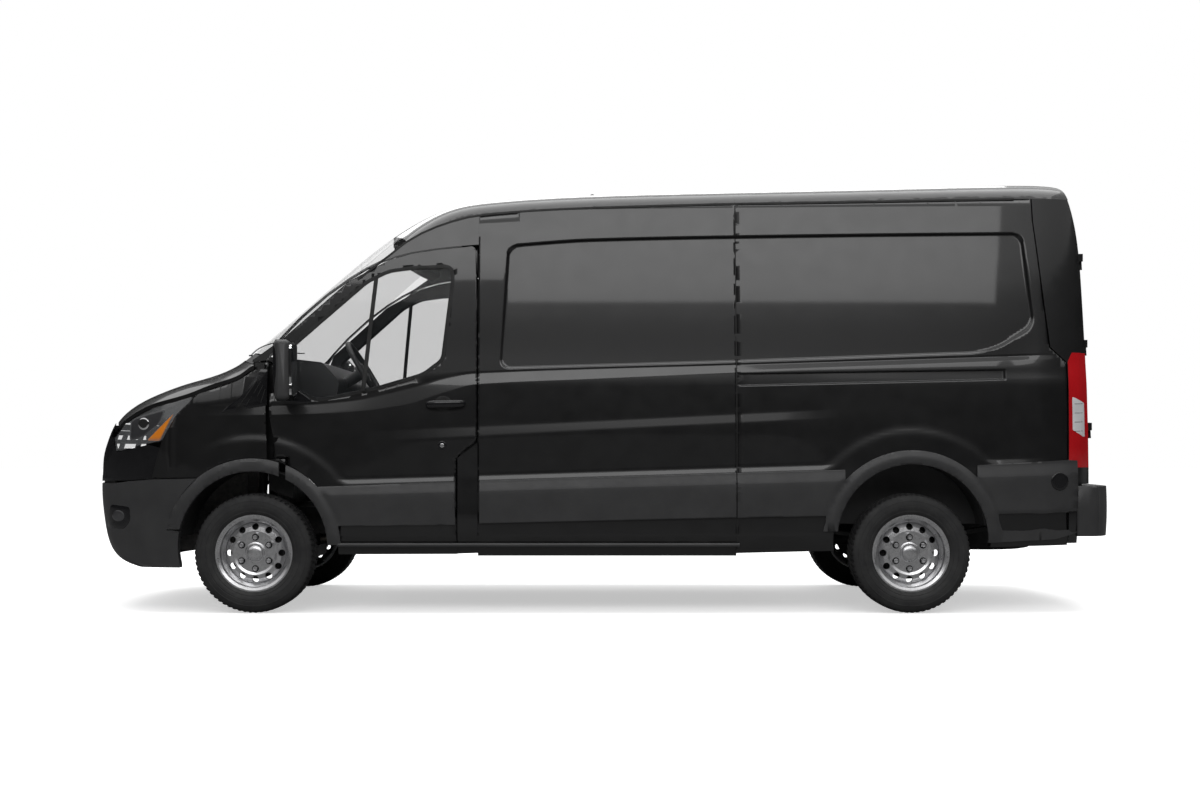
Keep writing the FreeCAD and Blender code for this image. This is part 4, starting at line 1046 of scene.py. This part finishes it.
def fog_lamp(name, sign):
    """Fog lamp in its bezel on one side of the bumper."""
    bumper_side = lie_on("front_bumper", (0, -sign, 0))
    bezel = rounded([(-2884, 470), (-2840, 632), (-2676, 618), (-2668, 520), (-2720, 462)], 24, 4)
    bezel = spread(bezel, 12.0, closed=True)
    plate("fog_bezel_" + name, bumper_side, bezel, 0.0015, "gloss_trim", "body")
    plate("fog_lamp_" + name, bumper_side, circle(-2772, 552, 52, tall=0.72), 0.0045,
          "lamp_smoke", "body")


def rear_door(name, sign):
    """Raised fields of one rear door."""
    body = "back_door_" + name
    door_back = lie_on("rear_door_" + name, (-1, 0, 0))
    upper = [(sign * a, b) for a, b in ((80, 1500), (640, 1500), (600, 2080), (90, 2120))]
    plate("rear_pressing_" + name, door_back, rounded(upper, 60, 5), 0.003, "body_black", body)
    lower = [(sign * a, b) for a, b in ((80, 860), (690, 860), (670, 1380), (80, 1380))]
    plate("rear_lower_" + name, door_back, rounded(lower, 50, 5), 0.003, "body_black", body)


for side_name, sign in SIDES.items():
    bumper_corner("bumper_corner_" + side_name, sign)
    front_lamps(side_name, sign)
    tail_lamp(side_name, sign)
    fog_lamp(side_name, sign)
    rear_door(side_name, sign)
handle_at = lie_on("rear_door_left", (-1, 0, 0))
bar = rounded([(-50, 1010), (-250, 1010), (-250, 1056), (-50, 1056)], 14, 4)
plate("rear_handle", handle_at, bar, 0.018, "gloss_trim", "back_door_left")
blank = rounded([(-330, 760), (-640, 760), (-640, 920), (-330, 920)], 10, 3)
plate("rear_blank_plate", handle_at, blank, 0.006, "dark_plastic", "back_door_left")


def aerial():
    """Fin on the roof, its foot laid along the crown. Its spots are (x, half width, height)."""
    roof_at = lie_on("roof_centre", (0, 0, -1))
    spots = ((-142, 10, 3), (-120, 17, 10), (-90, 19, 24), (-60, 17, 41), (-34, 13, 54),
             (-20, 8, 50), (-14, 4, 20))
    verts = []
    for x, wide, tall in spots:
        foot = 1000.0 * roof_at(x / 1000.0, 0.0).z
        half = ((1.25, -4), (1.0, 4), (0.55, 0.6 * tall))
        section = [(-s, up) for s, up in half] + [(0.0, tall)] + list(half[::-1])
        verts += [metres(x, s * wide, foot + up) for s, up in section]
    faces = loft(len(spots), 7, closed=False) + [cap(0, 7), cap(len(spots) - 1, 7)]
    rework(piece("aerial", verts, faces, "gloss_trim", "body", angle=70.0).data)


aerial()


# Studio

# Brightness of the world by height, from straight below at 0 to straight above at 1
HORIZON_STOPS = ((0.0, 0.10), (0.47, 0.05), (0.50, 0.02), (0.61, 0.025), (0.640, 0.05),
                 (0.650, 0.12), (0.664, 0.72), (0.80, 1.0))
SKY_STRENGTH = 0.85
FLOOR_R = 60.0
FLOOR_SEEN = 0.86
FLOOR_OTHER = 0.20
FLOOR_GLOW = 0.52


def studio():
    """White to the camera and through glass; reflections and light see a gradient."""
    scene = bpy.context.scene
    scene.view_settings.view_transform = "Standard"
    world = bpy.data.worlds.new("studio")
    scene.world = world
    world.use_nodes = True
    tree = world.node_tree
    tree.nodes.clear()
    out = add(tree, "ShaderNodeOutputWorld")
    path = add(tree, "ShaderNodeLightPath")
    place = add(tree, "ShaderNodeTexCoord")
    split = add(tree, "ShaderNodeSeparateXYZ")
    tree.links.new(place.outputs["Generated"], split.inputs["Vector"])
    height = add(tree, "ShaderNodeMapRange")
    put(height, {"From Min": -1.0, "From Max": 1.0})
    tree.links.new(split.outputs["Z"], height.inputs["Value"])
    shade = add(tree, "ShaderNodeValToRGB")
    stops = shade.color_ramp.elements
    stops[0].position = HORIZON_STOPS[0][0]
    stops[1].position = HORIZON_STOPS[-1][0]
    for position, _ in HORIZON_STOPS[1:-1]:
        stops.new(position)
    for stop, (_, value) in zip(stops, HORIZON_STOPS):
        stop.color = (value, value, value, 1.0)
    tree.links.new(height.outputs["Result"], shade.inputs["Fac"])
    soft = add(tree, "ShaderNodeBackground")
    tree.links.new(shade.outputs["Color"], soft.inputs["Color"])
    put(soft, {"Strength": SKY_STRENGTH})
    white = add(tree, "ShaderNodeBackground")
    put(white, {"Color": (1.0, 1.0, 1.0, 1.0), "Strength": 1.0})
    seen = add(tree, "ShaderNodeMath", operation="MAXIMUM")
    tree.links.new(path.outputs["Is Camera Ray"], seen.inputs[0])
    tree.links.new(path.outputs["Is Transmission Ray"], seen.inputs[1])
    mix = add(tree, "ShaderNodeMixShader")
    tree.links.new(seen.outputs[0], mix.inputs["Fac"])
    tree.links.new(soft.outputs[0], mix.inputs[1])
    tree.links.new(white.outputs[0], mix.inputs[2])
    tree.links.new(mix.outputs[0], out.inputs["Surface"])


def floor():
    """Pale floor that keeps the shadow and is darker to reflections than to the camera."""
    mat = bpy.data.materials.new("studio_floor")
    mat.use_nodes = True
    tree = mat.node_tree
    tree.nodes.clear()
    out = add(tree, "ShaderNodeOutputMaterial")
    flat = add(tree, "ShaderNodeBsdfDiffuse")
    glow = add(tree, "ShaderNodeEmission")
    path = add(tree, "ShaderNodeLightPath")
    tone = add(tree, "ShaderNodeMapRange")
    put(tone, {"To Min": FLOOR_OTHER, "To Max": FLOOR_SEEN})
    tree.links.new(path.outputs["Is Camera Ray"], tone.inputs["Value"])
    tree.links.new(tone.outputs["Result"], flat.inputs["Color"])
    lift = add(tree, "ShaderNodeMath", operation="MULTIPLY")
    lift.inputs[1].default_value = FLOOR_GLOW
    tree.links.new(path.outputs["Is Camera Ray"], lift.inputs[0])
    tree.links.new(lift.outputs[0], glow.inputs["Strength"])
    both = add(tree, "ShaderNodeAddShader")
    tree.links.new(flat.outputs[0], both.inputs[0])
    tree.links.new(glow.outputs[0], both.inputs[1])
    tree.links.new(both.outputs[0], out.inputs["Surface"])
    mesh = bpy.data.meshes.new("studio_floor")
    verts = [(x, y, 0.0) for x, y in circle(0.0, 0.0, FLOOR_R, 96)]
    mesh.from_pydata(verts, [], [cap(0, len(verts))])
    obj = new_object("studio_floor", mesh)
    mesh.materials.append(mat)


def lamp(name, place, aim, size, size_y, power):
    data = bpy.data.lights.new(name, "AREA")
    data.shape = "RECTANGLE"
    data.size = size
    data.size_y = size_y
    data.energy = power
    obj = new_object(name, data)
    obj.location = place
    way = Vector(aim) - Vector(place)
    obj.rotation_euler = way.to_track_quat("-Z", "Y").to_euler()


# The photograph's camera, fitted to the wheels and the outline: its place in metres, then the
# picture in its own pixels and the sensor in millimetres
CAMERA_AT = (-0.0685, -10.196, 0.956)
PICTURE_WIDE = 1200.0
FOCAL = 1619.3
SHIFT = (13.5, 45.8)
SENSOR = 36.0


def camera():
    """Exact side view of the van's left side, at the photograph's distance."""
    data = bpy.data.cameras.new("photo_view")
    data.sensor_width = SENSOR
    data.lens = SENSOR * FOCAL / PICTURE_WIDE
    data.shift_x = SHIFT[0] / PICTURE_WIDE
    data.shift_y = SHIFT[1] / PICTURE_WIDE
    data.clip_end = 200.0
    obj = new_object("photo_view", data)
    obj.location = CAMERA_AT
    obj.rotation_euler = (math.radians(90.0), 0.0, 0.0)
    bpy.context.scene.camera = obj


studio()
floor()
lamp("overhead", (0.0, 0.0, 7.5), (0.0, 0.0, 0.0), 12.0, 6.0, 520.0)
for lamp_name, y, power in (("near_side", -9.0, 260.0), ("far_side", 9.0, 180.0)):
    lamp(lamp_name, (0.0, y, 6.0), (0.0, 0.0, 1.0), 10.0, 3.0, power)
camera()

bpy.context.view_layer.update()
import json
